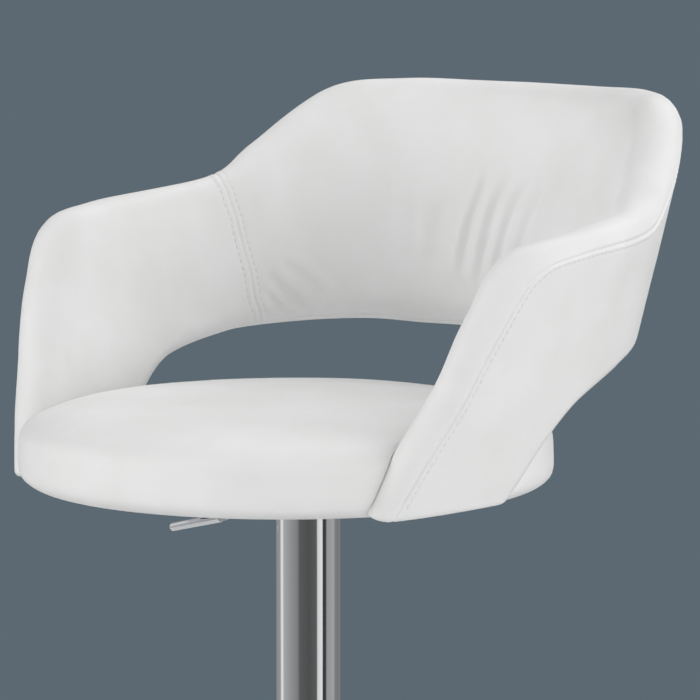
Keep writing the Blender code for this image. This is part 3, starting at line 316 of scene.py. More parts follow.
def nonwoven():
    # spunbond polypropylene dust cover: matt black, bonded in a 2.5 mm grid of pin points
    mat, tree, shader = newMaterial("spunbondLining", Roughness=0.85, Sheen_Weight=0.25,
                                    Sheen_Roughness=0.5)
    place = addNode(tree, "ShaderNodeTexCoord").outputs["Object"]
    points = addNode(tree, "ShaderNodeTexVoronoi", [(place, "Vector")], Scale=perMetre(2.5), Randomness=0.1)
    fibres = addNode(tree, "ShaderNodeTexNoise", [(place, "Vector")], Scale=perMetre(1.0), Detail=4.0)
    colour = addNode(tree, "ShaderNodeValToRGB", [(fibres.outputs["Fac"], "Fac")])
    colour.color_ramp.elements[0].color = toLinear("#141415")
    colour.color_ramp.elements[1].color = toLinear("#2C2C2E")
    tree.links.new(colour.outputs["Color"], shader.inputs["Base Color"])
    bump = addNode(tree, "ShaderNodeBump", [(points.outputs["Distance"], "Height")], Strength=0.5,
                   Distance=0.2 * mm)
    tree.links.new(bump.outputs["Normal"], shader.inputs["Normal"])
    return mat


cover = leatherette()
thread = sewingThread()
chrome = chromePlate()
zinc = zincPlate()
plywood = birchPly()
lining = nonwoven()
# black epoxy powder coat, baked: an even orange peel with a soft sheen
powderCoat = speckled("blackPowderCoatedSteel", "#101011", "#19191B", 0.42, 1.6, 0.08, Coat_Weight=0.15,
                      Coat_Roughness=0.35)
# sand-cast grey iron left rough under a thin black wash
castIron = speckled("sandCastIron", "#1F2022", "#37383B", 0.72, 1.2, 0.35, metallic=0.6)
brass = speckled("turnedBrass", "#B08A45", "#C9A45C", 0.32, 3.0, 0.02, metallic=1.0)
# moulded rubber: dead black with a faint bloom
rubber = speckled("mouldedRubber", "#121212", "#1E1E1E", 0.68, 1.0, 0.06)
# injection-moulded nylon with a spark-eroded mould texture
nylon = speckled("mouldedNylon", "#141414", "#1B1B1B", 0.45, 0.6, 0.04)
# closed-cell EVA foam: fine open cells where the sheet was split
evaFoam = speckled("evaFoamSheet", "#161617", "#2A2A2B", 0.9, 0.9, 0.25)

finishes = {
    "white_leatherette": cover, "polished_chrome": chrome, "zinc_plated_steel": zinc,
    "black_painted_steel": powderCoat, "cast_iron": castIron, "brass": brass, "black_rubber": rubber,
    "moulded_nylon": nylon, "closed_cell_foam": evaFoam, "plywood": plywood, "black_lining": lining,
}
nodeSlots = {part["node"]: part["material_slot"] for part in frame["record"]["subparts"]}
for nodeName, nodeObj in frame["nodes"].items():
    nodeObj.data.materials.clear()
    nodeObj.data.materials.append(finishes[nodeSlots[nodeName]])
print("materials ready")

base = {
    "coverRadius": 0.1925, "coverWall": 0.0012, "rimHeight": 0.012, "neckHeight": 0.096,
    "neckRadius": 0.0365, "sweep": 3.2, "floorGap": 0.0012, "padRadius": 0.187, "padThickness": 0.003,
}


def baseCover():
    rise = base["neckHeight"] - base["rimHeight"]
    flat = base["coverRadius"] - 0.006 - base["neckRadius"]
    outer = []
    for out in np.linspace(0, 1, 30):
        outer.append((base["neckRadius"] + flat * out,
                      base["rimHeight"] + rise * (1 - out) ** base["sweep"]))
    rim = base["coverRadius"]
    # the rolled rim turns down in a quarter round
    for turn in np.linspace(15, 90, 6):
        a = math.radians(turn)
        outer.append((rim - 0.006 + 0.006 * math.sin(a), base["rimHeight"] - 0.006 + 0.006 * math.cos(a)))
    outer.append((rim, base["floorGap"]))
    obj = turnPiece("baseCover", outer, steps=160, closed=False)
    applyModifier(obj, "SOLIDIFY", thickness=base["coverWall"], offset=-1.0)
    softenEdges(obj, 0.0004, segments=2, angle=50)
    return finishPiece(obj, chrome, "base", ["base_shell"], smoothAngle=40)


def baseTrimRing():
    bore, foot = 0.03205, 0.0963
    obj = turnPiece("baseTrimRing", [(bore, foot + 0.009), (bore + 0.002, foot + 0.009),
                                     (0.0378, foot + 0.0068),
                                     (0.0395, foot + 0.004), (0.0395, foot), (bore, foot)])
    softenEdges(obj, 0.0006, segments=3, angle=20)
    return finishPiece(obj, rubber, "base", ["base_trim_ring"])


def floorPad():
    deselectAll()
    bpy.ops.mesh.primitive_cylinder_add(vertices=128, radius=base["padRadius"], depth=base["padThickness"],
                                        location=(0, 0, base["padThickness"] / 2))
    obj = bpy.context.object
    obj.name = "floorPad"
    bpy.ops.object.mode_set(mode="EDIT")
    for inset, push in ((0.010, 0.0), (0.004, 0.0006), (0.120, 0.0), (0.004, -0.0006)):
        shape = bmesh.from_edit_mesh(obj.data)
        for face in shape.faces:
            face.select = face.normal.z < -0.9 and (face.calc_center_median().xy.length < 0.001)
        bmesh.update_edit_mesh(obj.data)
        bpy.ops.mesh.inset(thickness=inset, depth=0)
        bpy.ops.transform.translate(value=(0, 0, push))
    bpy.ops.object.mode_set(mode="OBJECT")
    softenEdges(obj, 0.0005, segments=2, angle=40)
    return finishPiece(obj, evaFoam, "base", ["floor_pad"])


baseCover()
baseTrimRing()
floorPad()
print("base ready")

column = {
    "tubeRadius": 0.03175, "tubeWall": 0.0015, "tubeBottom": 0.0164, "tubeTop": 0.462,
    "sleeveRadius": 0.027, "sleeveWall": 0.0012, "sleeveBottom": 0.3947, "sleeveTop": 0.7217,
    "lip": 0.0035, "bushLength": 0.042, "slide": 0.0004,
}


def columnTube():
    outer, bore = column["tubeRadius"], column["tubeRadius"] - column["tubeWall"]
    obj = turnPiece("columnTube", [(outer, column["tubeTop"]), (outer, column["tubeBottom"]),
                                   (bore, column["tubeBottom"]), (bore, column["tubeTop"])], steps=128)
    softenEdges(obj, 0.0004)
    return finishPiece(obj, chrome, "base", ["column_tube"])


def guideBush():
    top, outer = column["tubeTop"] + 0.0003, column["tubeRadius"]
    bore = column["sleeveRadius"] + column["slide"]
    skirt = column["tubeRadius"] - column["tubeWall"] - 0.0003
    obj = turnPiece("guideBush", [
        (bore, top + column["lip"]), (outer - 0.0008, top + column["lip"]),
        (outer, top + column["lip"] - 0.001),
        (outer, top), (skirt, top), (skirt, top - column["bushLength"]),
        (bore, top - column["bushLength"])], steps=128)
    softenEdges(obj, 0.0005)
    return finishPiece(obj, nylon, "base", ["guide_bush"])


def upperSleeve():
    outer, bore = column["sleeveRadius"], column["sleeveRadius"] - column["sleeveWall"]
    obj = turnPiece("upperSleeve", [(outer, column["sleeveTop"]), (outer, column["sleeveBottom"]),
                                    (bore, column["sleeveBottom"]), (bore, column["sleeveTop"])], steps=128)
    softenEdges(obj, 0.0003)
    return finishPiece(obj, chrome, "seat", ["cylinder_sleeve"])


columnTube()
guideBush()
upperSleeve()
print("column ready")

footrest = {
    "height": 0.300, "clampHeight": 0.040, "clampRadius": 0.03855, "bore": 0.03205, "barRadius": 0.011,
    "hoopRadius": 0.142, "forward": 0.080, "cornerRadius": 0.044, "weld": 0.0028,
}


def footrestClamp():
    low = footrest["height"] - footrest["clampHeight"] / 2
    high = low + footrest["clampHeight"]
    outer, bore = footrest["clampRadius"], footrest["bore"]
    obj = turnPiece("footrestClamp", [(bore, high), (outer, high), (outer, low), (bore, low)], steps=96)
    softenEdges(obj, 0.0022, segments=5)
    return finishPiece(obj, chrome, "base", ["footrest_clamp"])


def footrestBar():
    big, r, z = footrest["hoopRadius"], footrest["cornerRadius"], footrest["height"]
    centre = (0.0, -footrest["forward"])
    # the small corner touches the straight arm and the hoop from inside
    reach = math.sqrt((big - r) ** 2 - (footrest["forward"] - r) ** 2)
    meet = math.degrees(math.atan2(footrest["forward"] - r, reach))
    start = footrest["clampRadius"] - 0.0006
    route = [Vector((start, 0, z))]
    route += arcPoints((reach, -r), r, 90, meet, 14, z)
    route += arcPoints(centre, big, meet, -180 - meet, 96, z)[1:]
    route += arcPoints((-reach, -r), r, 180 - meet, 90, 14, z)[1:]
    route.append(Vector((-start, 0, z)))
    obj = bendBar("footrestBar", route, footrest["barRadius"], sides=32)
    return finishPiece(obj, chrome, "base", ["footrest_bar"])


def weldBeads():
    # one bead of weld round each end of the bar, ground smooth and plated over
    for side in (1, -1):
        deselectAll()
        bpy.ops.mesh.primitive_torus_add(major_radius=footrest["barRadius"], minor_radius=footrest["weld"],
                                         major_segments=48, minor_segments=14, rotation=(0, math.pi / 2, 0),
                                         location=(side * (footrest["clampRadius"] + 0.0003), 0,
                                                   footrest["height"]))
        bead = bpy.context.object
        bead.name = "weldBeadLeft" if side > 0 else "weldBeadRight"
        bpy.ops.object.transform_apply(location=True, rotation=True, scale=True)
        bpy.ops.object.mode_set(mode="EDIT")
        bpy.ops.mesh.select_all(action="SELECT")
        bpy.ops.transform.resize(value=(0.72, 1, 1), center_override=(side * footrest["clampRadius"], 0,
                                                                     footrest["height"]))
        # the bead follows the clamp's own curve
        shape = bmesh.from_edit_mesh(bead.data)
        for vert in shape.verts:
            vert.co.x -= side * vert.co.y ** 2 / (2 * footrest["clampRadius"])
            vert.co.x += side * 0.0003 * math.sin(vert.co.y * 1400) * math.cos(vert.co.z * 1100)
        bmesh.update_edit_mesh(bead.data)
        bpy.ops.object.mode_set(mode="OBJECT")
        finishPiece(bead, chrome, "base")


def buttonScrew(name, place, facing, body, node, radius=0.004, head=0.007, headHeight=0.004, length=0.012):
    # a cold-headed button screw with a hexagon socket
    obj = turnPiece(name, [
        (0.0, headHeight), (head * 0.62, headHeight), (head * 0.90, headHeight * 0.62),
        (head, headHeight * 0.2),
        (head, 0.0), (radius, 0.0), (radius, -length), (0.0, -length)], steps=48, closed=False)
    softenEdges(obj, 0.0003, segments=2)
    deselectAll()
    bpy.ops.mesh.primitive_cylinder_add(vertices=6, radius=head * 0.36, depth=headHeight,
                                        location=(0, 0, headHeight * 0.9))
    key = bpy.context.object
    applyModifier(obj, "BOOLEAN", operation="DIFFERENCE", solver="EXACT", object=key)
    bpy.data.objects.remove(key, do_unlink=True)
    upright = Vector(facing).to_track_quat("Z", "Y").to_matrix().to_4x4()
    obj.matrix_world = Matrix.Translation(place) @ upright
    return finishPiece(obj, zinc, body, [node], smoothAngle=30)


footrestClamp()
footrestBar()
weldBeads()
buttonScrew("footrestScrew", (0, 0.03885, footrest["height"]), (0, 1, 0), "base", "footrest_screw",
            length=0.0065)
print("footrest ready")

plate = {
    "width": 0.190, "depth": 0.150, "thickness": 0.0025, "corner": 0.018, "top": 0.7397,
    "panRadius": 0.058, "panBottom": 0.722, "boltX": 0.078, "boltY": 0.058,
    # the slot that the lever comes out of
    "slotHeight": 0.7288, "slotSize": (0.016, 0.010, 0.0154),
}


def seatPlate():
    deselectAll()
    bpy.ops.mesh.primitive_cube_add(size=1, location=(0, 0, plate["top"] - plate["thickness"] / 2))
    flat = bpy.context.object
    flat.name = "seatPlate"
    bpy.ops.transform.resize(value=(plate["width"], plate["depth"], plate["thickness"]))
    bpy.ops.object.transform_apply(location=True, rotation=True, scale=True)
    bpy.ops.object.mode_set(mode="EDIT")
    bpy.ops.mesh.select_all(action="DESELECT")
    bpy.ops.mesh.select_mode(type="EDGE")
    shape = bmesh.from_edit_mesh(flat.data)
    for edge in shape.edges:
        a, b = edge.verts
        edge.select = abs(a.co.z - b.co.z) > plate["thickness"] / 2
    bmesh.update_edit_mesh(flat.data)
    bpy.ops.mesh.bevel(offset=plate["corner"], segments=10, affect="EDGES")
    bpy.ops.mesh.select_mode(type="VERT")
    bpy.ops.object.mode_set(mode="OBJECT")
    r, t, low = plate["panRadius"], plate["thickness"], plate["panBottom"]
    deselectAll()
    bpy.ops.mesh.primitive_cylinder_add(vertices=96, radius=r - t / 2, depth=0.02,
                                        location=(0, 0, plate["top"]))
    hole = bpy.context.object
    applyModifier(flat, "BOOLEAN", operation="DIFFERENCE", solver="EXACT", object=hole)
    # the pan is pressed down from the plate with a rounded brim and a rounded floor
    pan = turnPiece("pan", [
        (r + 0.0035, plate["top"] - t - 0.0002), (r + 0.001, plate["top"] - t - 0.0012),
        (r, plate["top"] - t - 0.0036),
        (r, low + 0.004), (r - 0.0012, low + 0.0012), (r - 0.004, low), (0.0143, low), (0.0143, low + t),
        (r - 0.0045, low + t), (r - t - 0.0006, low + t + 0.0006), (r - t, low + 0.006),
        (r - t, plate["top"] - 0.0003), (r + 0.0035, plate["top"] - 0.0003)])
    applyModifier(flat, "BOOLEAN", operation="UNION", solver="EXACT", object=pan)
    deselectAll()
    bpy.ops.mesh.primitive_cube_add(size=1, location=(-r, 0, plate["slotHeight"]))
    slot = bpy.context.object
    bpy.ops.transform.resize(value=plate["slotSize"])
    applyModifier(flat, "BOOLEAN", operation="DIFFERENCE", solver="EXACT", object=slot)
    for extra in (hole, pan, slot):
        bpy.data.objects.remove(extra, do_unlink=True)
    softenEdges(flat, 0.0004, segments=2, angle=40)
    return finishPiece(flat, powderCoat, "seat", ["seat_plate"])


lever = {
    "level": 0.734, "inner": 0.005, "bendX": -0.046, "kneeX": -0.088, "kneeDrop": 0.0373, "tipX": -0.1525,
    "slope": 13.5, "radius": 0.003, "gripRadius": 0.0037, "gripLength": 0.056, "underside": 0.740,
}


def leverRoute():
    slope = math.radians(lever["slope"])
    out = Vector((-math.cos(slope), 0, -math.sin(slope)))
    knee = Vector((lever["kneeX"], 0, lever["underside"] - lever["kneeDrop"]))
    tip = knee + out * ((lever["kneeX"] - lever["tipX"]) / math.cos(slope))
    bend = Vector((lever["bendX"], 0, lever["level"]))
    down = (knee - bend).normalized()

    def corner(before, at, after):
        return [before * (1 - t) ** 2 + at * 2 * t * (1 - t) + after * t * t for t in np.linspace(0, 1, 9)]

    route = [Vector((lever["inner"], 0, lever["level"]))]
    route += corner(bend + Vector((0.006, 0, 0)), bend, bend + down * 0.006)
    route += corner(knee - down * 0.009, knee, knee + out * 0.009) + [tip]
    return route, tip, out


def heightLever():
    route, tip, out = leverRoute()
    rod = bendBar("leverRod", route, lever["radius"], sides=24)
    softenEdges(rod, 0.0005, segments=3, angle=60)
    finishPiece(rod, zinc, "lever", ["lever_rod"])
    r, length = lever["gripRadius"], lever["gripLength"]
    profile = [(0.0, 0.0024)]
    for turn in np.linspace(20, 90, 6):
        a = math.radians(turn)
        profile.append((r * math.sin(a), 0.0024 * math.cos(a)))
    profile += [(r, -length), (r - 0.0006, -length - 0.0005), (lever["radius"] + 0.0001, -length - 0.0005),
                (lever["radius"] + 0.0001, 0.0002), (0.0, 0.0002)]
    grip = turnPiece("leverGrip", profile, steps=48, closed=False)
    softenEdges(grip, 0.0002, segments=2, angle=40)
    grip.matrix_world = Matrix.Translation(tip) @ out.to_track_quat("Z", "Y").to_matrix().to_4x4()
    finishPiece(grip, chrome, "lever", ["lever_grip"])


seatPlate()
number = 0
for sx in (1, -1):
    for sy in (1, -1):
        number += 1
        seatAt = (sx * plate["boltX"], sy * plate["boltY"], plate["top"] - plate["thickness"] - 0.0003)
        buttonScrew(f"plateScrew{number}", seatAt, (0, 0, -1), "seat", f"plate_bolt_{number}", length=0.016)
heightLever()
print("seat plate and lever ready")

# the band: angles are degrees from the middle of the back, heights are above the seat's underside
band = {
    "underside": 0.740, "halfWidth": 0.2085, "halfDepth": 0.2545, "centreY": -0.0115, "flareX": 0.210,
    "flareY": 0.260, "power": 2.185, "footThickness": 0.037, "thickness": 0.0445, "seamInset": 0.0165,
    "metresPerDegree": 0.0039, "footRound": 0.0095, "footDrop": 0.0048, "lowSeamTurn": -22,
    "frontEdge": [(119.5, 0.009), (114.0, 0.054), (108.0, 0.100), (101.8, 0.163), (96.0, 0.208),
                  (86.8, 0.224),
                  (64.0, 0.237), (55.0, 0.266), (41.2, 0.313), (27.5, 0.3235), (13.3, 0.3235),
                  (0.0, 0.323)],
    "lowerEdge": [(89.3, 0.0125), (83.2, 0.054), (78.2, 0.0775), (73.3, 0.089), (64.7, 0.0995),
                  (56.0, 0.1055), (32.3, 0.1110), (17.7, 0.1075), (0.0, 0.107)],
    # the panel seam: how far along the half band it runs, at each share of the way from upper to lower edge
    "panelSeam": [(0.0, 0.569), (0.15, 0.556), (0.34, 0.540), (0.54, 0.515), (0.70, 0.494), (0.86, 0.464),
                  (1.0, 0.448)],
    "rings": 101, "capRings": 6, "outerRows": 34, "innerRows": 40,
    "armColumns": 110, "backColumns": 300, "outerFineRows": 40, "innerFineRows": 52,
    "slim": 0.0016, "pressure": 4.0, "puff": 0.0035, "stretch": 18.0,
}


def bulged(value):
    return np.sign(value) * np.abs(value) ** (2 / band["power"])


def onBand(angle, height):
    turn = np.radians(angle)
    halfWidth = band["halfWidth"] + band["flareX"] * height
    halfDepth = band["halfDepth"] + band["flareY"] * height
    return np.stack([halfWidth * bulged(np.sin(turn)), band["centreY"] + halfDepth * bulged(np.cos(turn)),
                     band["underside"] + height + 0 * turn], -1)


def unit(vectors):
    return vectors / np.maximum(np.linalg.norm(vectors, axis=-1, keepdims=True), 1e-12)


def outOfBand(angle, height):
    along = onBand(angle + 0.5, height) - onBand(angle - 0.5, height)
    upward = onBand(angle, height + mm) - onBand(angle, height - mm)
    return unit(np.cross(upward, along))


def smoothEdge(points, count):
    # a Catmull-Rom curve through the points, level at the last one, read at even distances
    stretch = np.array([band["metresPerDegree"], 1.0])
    pts = np.array(points) * stretch
    chain = np.vstack([2 * pts[0] - pts[1], pts, [[-pts[-2][0], pts[-2][1]]]])
    t = np.linspace(0, 1, 16, endpoint=False)[:, None]
    dense = [0.5 * (2 * b + (c - a) * t + (2 * a - 5 * b + 4 * c - d) * t ** 2
                    + (3 * b - a - 3 * c + d) * t ** 3)
             for a, b, c, d in zip(chain, chain[1:], chain[2:], chain[3:])]
    dense = np.vstack(dense + [pts[-1:]])
    length = np.append(0, np.cumsum(np.linalg.norm(np.diff(dense, axis=0), axis=1)))
    want = np.linspace(0, length[-1], count)
    return np.stack([np.interp(want, length, dense[:, k]) for k in (0, 1)], -1) / stretch


def stadium(width, thickness, inset):
    # the cross-section as (across, depth), from the lower seam up the outer face, over the front edge,
    # down the inner face and round the lower edge back to the seam; inset shrinks it evenly for the foot's
    # rounded end
    radius = thickness / 2 - inset
    seamTurn = math.acos(max(-1.0, 1 - band["seamInset"] / (thickness / 2)))

    def edge(fromTurn, toTurn, steps):
        a = np.linspace(fromTurn, toTurn, steps)
        return np.stack([thickness / 2 - radius * np.cos(a), radius * np.sin(a)], -1)

    def mirrored(points):
        return np.stack([width - points[::-1, 0], points[::-1, 1]], -1)

    lowTurn = math.radians(band["lowSeamTurn"])
    outer = np.vstack([mirrored(edge(math.pi / 2, lowTurn, 24)), edge(math.pi / 2, seamTurn, 6)])
    inner = np.vstack([edge(seamTurn, -math.pi / 2, 30), mirrored(edge(lowTurn, -math.pi / 2, 20))])
    rows = []
    for line, count in ((outer, band["outerRows"]), (inner, band["innerRows"])):
        length = np.append(0, np.cumsum(np.linalg.norm(np.diff(line, axis=0), axis=1)))
        want = np.linspace(0, length[-1], count + 1)[:-1]
        rows.append(np.stack([np.interp(want, length, line[:, k]) for k in (0, 1)], -1))
    return np.vstack(rows)


def ringPoints(front, lower, thickness, inset):
    steps = np.linspace(0, 1, 17)[:, None]
    line = np.array(front) * (1 - steps) + np.array(lower) * steps
    path = onBand(line[:, 0], line[:, 1])
    length = np.append(0, np.cumsum(np.linalg.norm(np.diff(path, axis=0), axis=1)))
    outline = stadium(length[-1], thickness, inset)
    share = outline[:, 0] / length[-1]
    angle = front[0] + (lower[0] - front[0]) * share
    height = front[1] + (lower[1] - front[1]) * share
    return onBand(angle, height) + outOfBand(angle, height) * outline[:, 1:2], share


def bandGrid(slim):
    # rings from the sitter's left foot over the back to the right foot, each end closed by shrinking rings
    fronts = smoothEdge(band["frontEdge"], band["rings"])
    lowers = smoothEdge(band["lowerEdge"], band["rings"])
    rings, shares, alongs = [], [], []
    for turn in np.linspace(90, 0, band["capRings"], endpoint=False):
        a = math.radians(turn)
        drop, inset = band["footDrop"] * math.sin(a), band["footRound"] * (1 - math.cos(a))
        points, share = ringPoints((fronts[0][0], fronts[0][1] - drop), (lowers[0][0], lowers[0][1] - drop),
                                   band["footThickness"] - slim, inset)
        rings.append(points)
        shares.append(share)
        alongs.append(0.0)
    for index in range(band["rings"]):
        grown = min(1.0, 4 * index / band["rings"])
        thickness = band["footThickness"] + (band["thickness"] - band["footThickness"]) * grown - slim
        points, share = ringPoints(fronts[index], lowers[index], thickness, 0.0)
        rings.append(points)
        shares.append(share)
        alongs.append(index / (band["rings"] - 1))
    left = np.array(rings)
    right = left[-2::-1] * np.array([-1, 1, 1])
    alongs = np.array(alongs + alongs[-2::-1])
    shares = np.array(shares + shares[-2::-1])
    return np.concatenate([left, right]), shares, alongs


def meshFromGrid(name, grid):
    # quads between rings of a closed loop, and a fan over each end
    rings, rows = grid.shape[:2]
    verts = grid.reshape(-1, 3)
    i, j = np.meshgrid(np.arange(rings - 1), np.arange(rows), indexing="ij")
    k = (j + 1) % rows
    corners = [i * rows + j, i * rows + k, (i + 1) * rows + k, (i + 1) * rows + j]
    faces = np.stack(corners, -1).reshape(-1, 4).tolist()
    verts = np.vstack([verts, grid[0].mean(0), grid[-1].mean(0)])
    first, last = len(verts) - 2, len(verts) - 1
    for j in range(rows):
        k = (j + 1) % rows
        faces.append([first, k, j])
        faces.append([last, (rings - 1) * rows + j, (rings - 1) * rows + k])
    mesh = bpy.data.meshes.new(name)
    mesh.from_pydata(verts.tolist(), [], faces)
    obj = bpy.data.objects.new(name, mesh)
    bpy.context.scene.collection.objects.link(obj)
    mergeAndFaceOut(obj, 1e-7)
    mesh.shade_smooth()
    return obj


def inflate(grid, pinned, pressure, cap, stiffness):
    # the cover is blown up over its foam as cloth, held at its seams, and no point moves further than cap
    rings, rows = grid.shape[:2]
    obj = meshFromGrid("clothDraft", grid)
    count = rings * rows
    if len(obj.data.vertices) < count:
        raise RuntimeError("the draft lost points")
    group = obj.vertex_groups.new(name="held")
    held = np.zeros(len(obj.data.vertices))
    held[:count] = pinned.reshape(-1)
    held[count:] = 1.0
    for index in np.nonzero(held > 0)[0]:
        group.add([int(index)], float(held[index]), "REPLACE")
    cloth = obj.modifiers.new("Cloth", "CLOTH")
    settings = cloth.settings
    settings.vertex_group_mass = "held"
    settings.quality = 6
    settings.mass = 0.35
    settings.tension_stiffness = settings.compression_stiffness = stiffness
    settings.shear_stiffness = stiffness / 2
    settings.bending_stiffness = 0.6
    settings.use_pressure = True
    settings.uniform_pressure_force = pressure
    settings.effector_weights.gravity = 0.0
    cloth.collision_settings.use_collision = False
    cloth.point_cache.frame_start, cloth.point_cache.frame_end = 1, 20
    for number in range(1, 21):
        bpy.context.scene.frame_set(number)
    settled = obj.evaluated_get(bpy.context.evaluated_depsgraph_get()).to_mesh()
    moved = np.zeros(len(settled.vertices) * 3)
    settled.vertices.foreach_get("co", moved)
    moved = moved.reshape(-1, 3)[:count].reshape(grid.shape)
    bpy.context.scene.frame_set(1)
    bpy.data.objects.remove(obj, do_unlink=True)
    step = moved - grid
    size = np.linalg.norm(step, axis=-1, keepdims=True)
    print("  cloth moved at most", round(float(size.max()) * 1000, 1), "mm, half of it under",
          round(float(np.median(size)) * 1000, 2), "mm")
    step = step / np.maximum(size, 1e-9) * cap * np.tanh(size / cap)
    # small creases of the coarse cloth are evened out; the folds are laid in later
    free = (pinned < 1)[..., None]
    for _ in range(3):
        step[1:-1] = free[1:-1] * (0.25 * step[:-2] + 0.5 * step[1:-1] + 0.25 * step[2:])
        step = free * (0.25 * np.roll(step, 1, axis=1) + 0.5 * step + 0.25 * np.roll(step, -1, axis=1))
    return grid + step


def readAlong(values, places, closed=False):
    # smooth reading of rows of points at fractional places along the first axis
    count = len(values)
    base = np.floor(places).astype(int)
    part = (places - base)[..., None]
    columns = np.arange(values.shape[1])[None, :]

    def at(offset):
        index = base + offset
        return values[index % count if closed else np.clip(index, 0, count - 1), columns]

    a, b, c, d = at(-1), at(0), at(1), at(2)
    return 0.5 * (2 * b + (c - a) * part + (2 * a - 5 * b + 4 * c - d) * part ** 2
                  + (3 * b - a - 3 * c + d) * part ** 3)


def runLengths(values, closed=False):
    following = np.vstack([values[1:], values[:1]]) if closed else values[1:]
    steps = np.linalg.norm(following - values[:len(following)], axis=-1)
    return np.vstack([np.zeros((1, values.shape[1])), np.cumsum(steps, axis=0)])


def spreadBetween(start, end, near, count):
    # distances from start to end: the near ones close to both ends, the rest even
    near = np.array(near)
    near = near * min(1.0, 0.3 * (end - start) / near[-1])
    middle = np.linspace(start + near[-1], end - near[-1], count)[1:-1]
    return np.concatenate([start + near, middle, (end - near)[:0:-1]])


nearSeam = np.array([0.0, 0.7, 1.5, 2.5, 4.0, 5.5, 7.0, 9.0, 12.0]) * mm
nearPanelSeam = np.array([0.0, 0.8, 1.8, 3.2, 4.6, 6.0, 7.4, 9.5]) * mm


def refineBand(grid, shares, alongs):
    rows = grid.shape[1]
    turned = grid.transpose(1, 0, 2)
    lengths = runLengths(turned, closed=True)
    places = []
    for ring in range(grid.shape[0]):
        length = lengths[:, ring]
        frontSeam = length[band["outerRows"]]
        want = np.concatenate([spreadBetween(0, frontSeam, nearSeam, band["outerFineRows"]),
                               spreadBetween(frontSeam, length[-1], nearSeam, band["innerFineRows"])])
        places.append(np.interp(want, length, np.arange(rows + 1)))
    places = np.array(places).T
    fine = readAlong(turned, places, closed=True).transpose(1, 0, 2)
    fineShares = np.array([np.interp(places[:, r], np.arange(rows + 1), np.append(shares[r], shares[r][0]))
                           for r in range(grid.shape[0])])
    highSeam = len(spreadBetween(0, 1, nearSeam, band["outerFineRows"]))
    # the same along the band, row by row, with the panel seams as two more places to keep
    seamShare, seamAlong = np.array(band["panelSeam"]).T
    half = len(alongs) // 2
    length = runLengths(fine)
    columns = []
    for row in range(fine.shape[1]):
        share = float(np.median(fineShares[half - 40:half + 41, row]))
        target = np.interp(share, seamShare, seamAlong)
        leftPlace = np.interp(target, alongs[:half + 1], np.arange(half + 1))
        marks = np.interp([0, leftPlace, 2 * half - leftPlace, 2 * half], np.arange(2 * half + 1),
                          length[:, row])
        want = np.concatenate([spreadBetween(marks[0], marks[1], nearPanelSeam, band["armColumns"]),
                               spreadBetween(marks[1], marks[2], nearPanelSeam, band["backColumns"]),
                               spreadBetween(marks[2], marks[3], nearPanelSeam, band["armColumns"]),
                               marks[3:]])
        columns.append(np.interp(want, length[:, row], np.arange(2 * half + 1)))
    result = readAlong(fine, np.array(columns).T)
    firstSeam = len(spreadBetween(0, 1, nearPanelSeam, band["armColumns"]))
    seamColumns = (firstSeam, firstSeam + len(spreadBetween(0, 1, nearPanelSeam, band["backColumns"])))
    return result, highSeam, seamColumns


def gridNormals(grid):
    along = np.gradient(grid, axis=0)
    across = np.roll(grid, -1, axis=1) - np.roll(grid, 1, axis=1)
    normals = unit(np.cross(across, along))
    centre = grid.mean(axis=1, keepdims=True)
    outward = np.sum((grid - centre) * normals, axis=-1).mean()
    return normals if outward > 0 else -normals


def bell(distance, width):
    return np.exp(-(distance / width) ** 2)


def distanceToPath(points, path):
    # nearest distance to a chain of segments, and the share of the way along it
    path = np.array(path)
    lengths = np.append(0, np.cumsum(np.linalg.norm(np.diff(path, axis=0), axis=1)))
    best = np.full(points.shape[:-1], 1e9)
    share = np.zeros(points.shape[:-1])
    for a, b, start, end in zip(path, path[1:], lengths, lengths[1:]):
        t = np.clip(((points - a) @ (b - a)) / ((b - a) @ (b - a)), 0, 1)
        gap = np.linalg.norm(points - (a + t[..., None] * (b - a)), axis=-1)
        nearer = gap < best
        best = np.where(nearer, gap, best)
        share = np.where(nearer, (start + t * (end - start)) / lengths[-1], share)
    return best, share


# soft folds of the cover, each as (angle, height) points, depth and width in mm
folds = [
    # gathers by the right panel seam's foot, and the same with a difference on the other side
    ([(-55.4, 0.135), (-53.4, 0.124), (-50.3, 0.115)], 2.4, 3.74),
    ([(-54.8, 0.147), (-52.1, 0.136), (-49.2, 0.127), (-45.2, 0.116)], 3.4, 4.4),
    ([(-51.6, 0.158), (-47.6, 0.146), (-44.6, 0.136), (-40.6, 0.123)], 3.0, 4.84),
    ([(55.0, 0.138), (52.8, 0.126), (49.6, 0.117)], 2.2, 3.96),
    ([(53.6, 0.150), (50.4, 0.139), (46.2, 0.127), (42.0, 0.117)], 2.8, 4.84),
    # the long curved gathers left of the middle of the back
    ([(-4.9, 0.240), (-6.5, 0.211), (-7.8, 0.189), (-8.4, 0.160), (-8.6, 0.143)], 2.2, 4.84),
    ([(0.2, 0.241), (-2.2, 0.211), (-3.1, 0.189), (-3.7, 0.157), (-4.0, 0.139)], 2.1, 4.62),
    ([(4.2, 0.240), (1.6, 0.211), (0.5, 0.189), (-0.2, 0.158), (-0.6, 0.139)], 1.9, 4.4),
    ([(8.1, 0.233), (5.9, 0.205), (4.7, 0.189), (3.8, 0.162), (3.2, 0.144)], 1.5, 4.18),
    # broad, faint ones
    ([(-27.6, 0.235), (-27.2, 0.190)], 0.45, 6.05),
    ([(-21.5, 0.215), (-20.9, 0.160)], 0.5, 6.6),
    ([(-14.8, 0.215), (-15.7, 0.167), (-16.2, 0.140)], 0.55, 7.15),
    ([(19.0, 0.220), (18.0, 0.165)], 0.5, 6.6),
    ([(27.0, 0.225), (26.0, 0.180)], 0.4, 6.6),
]


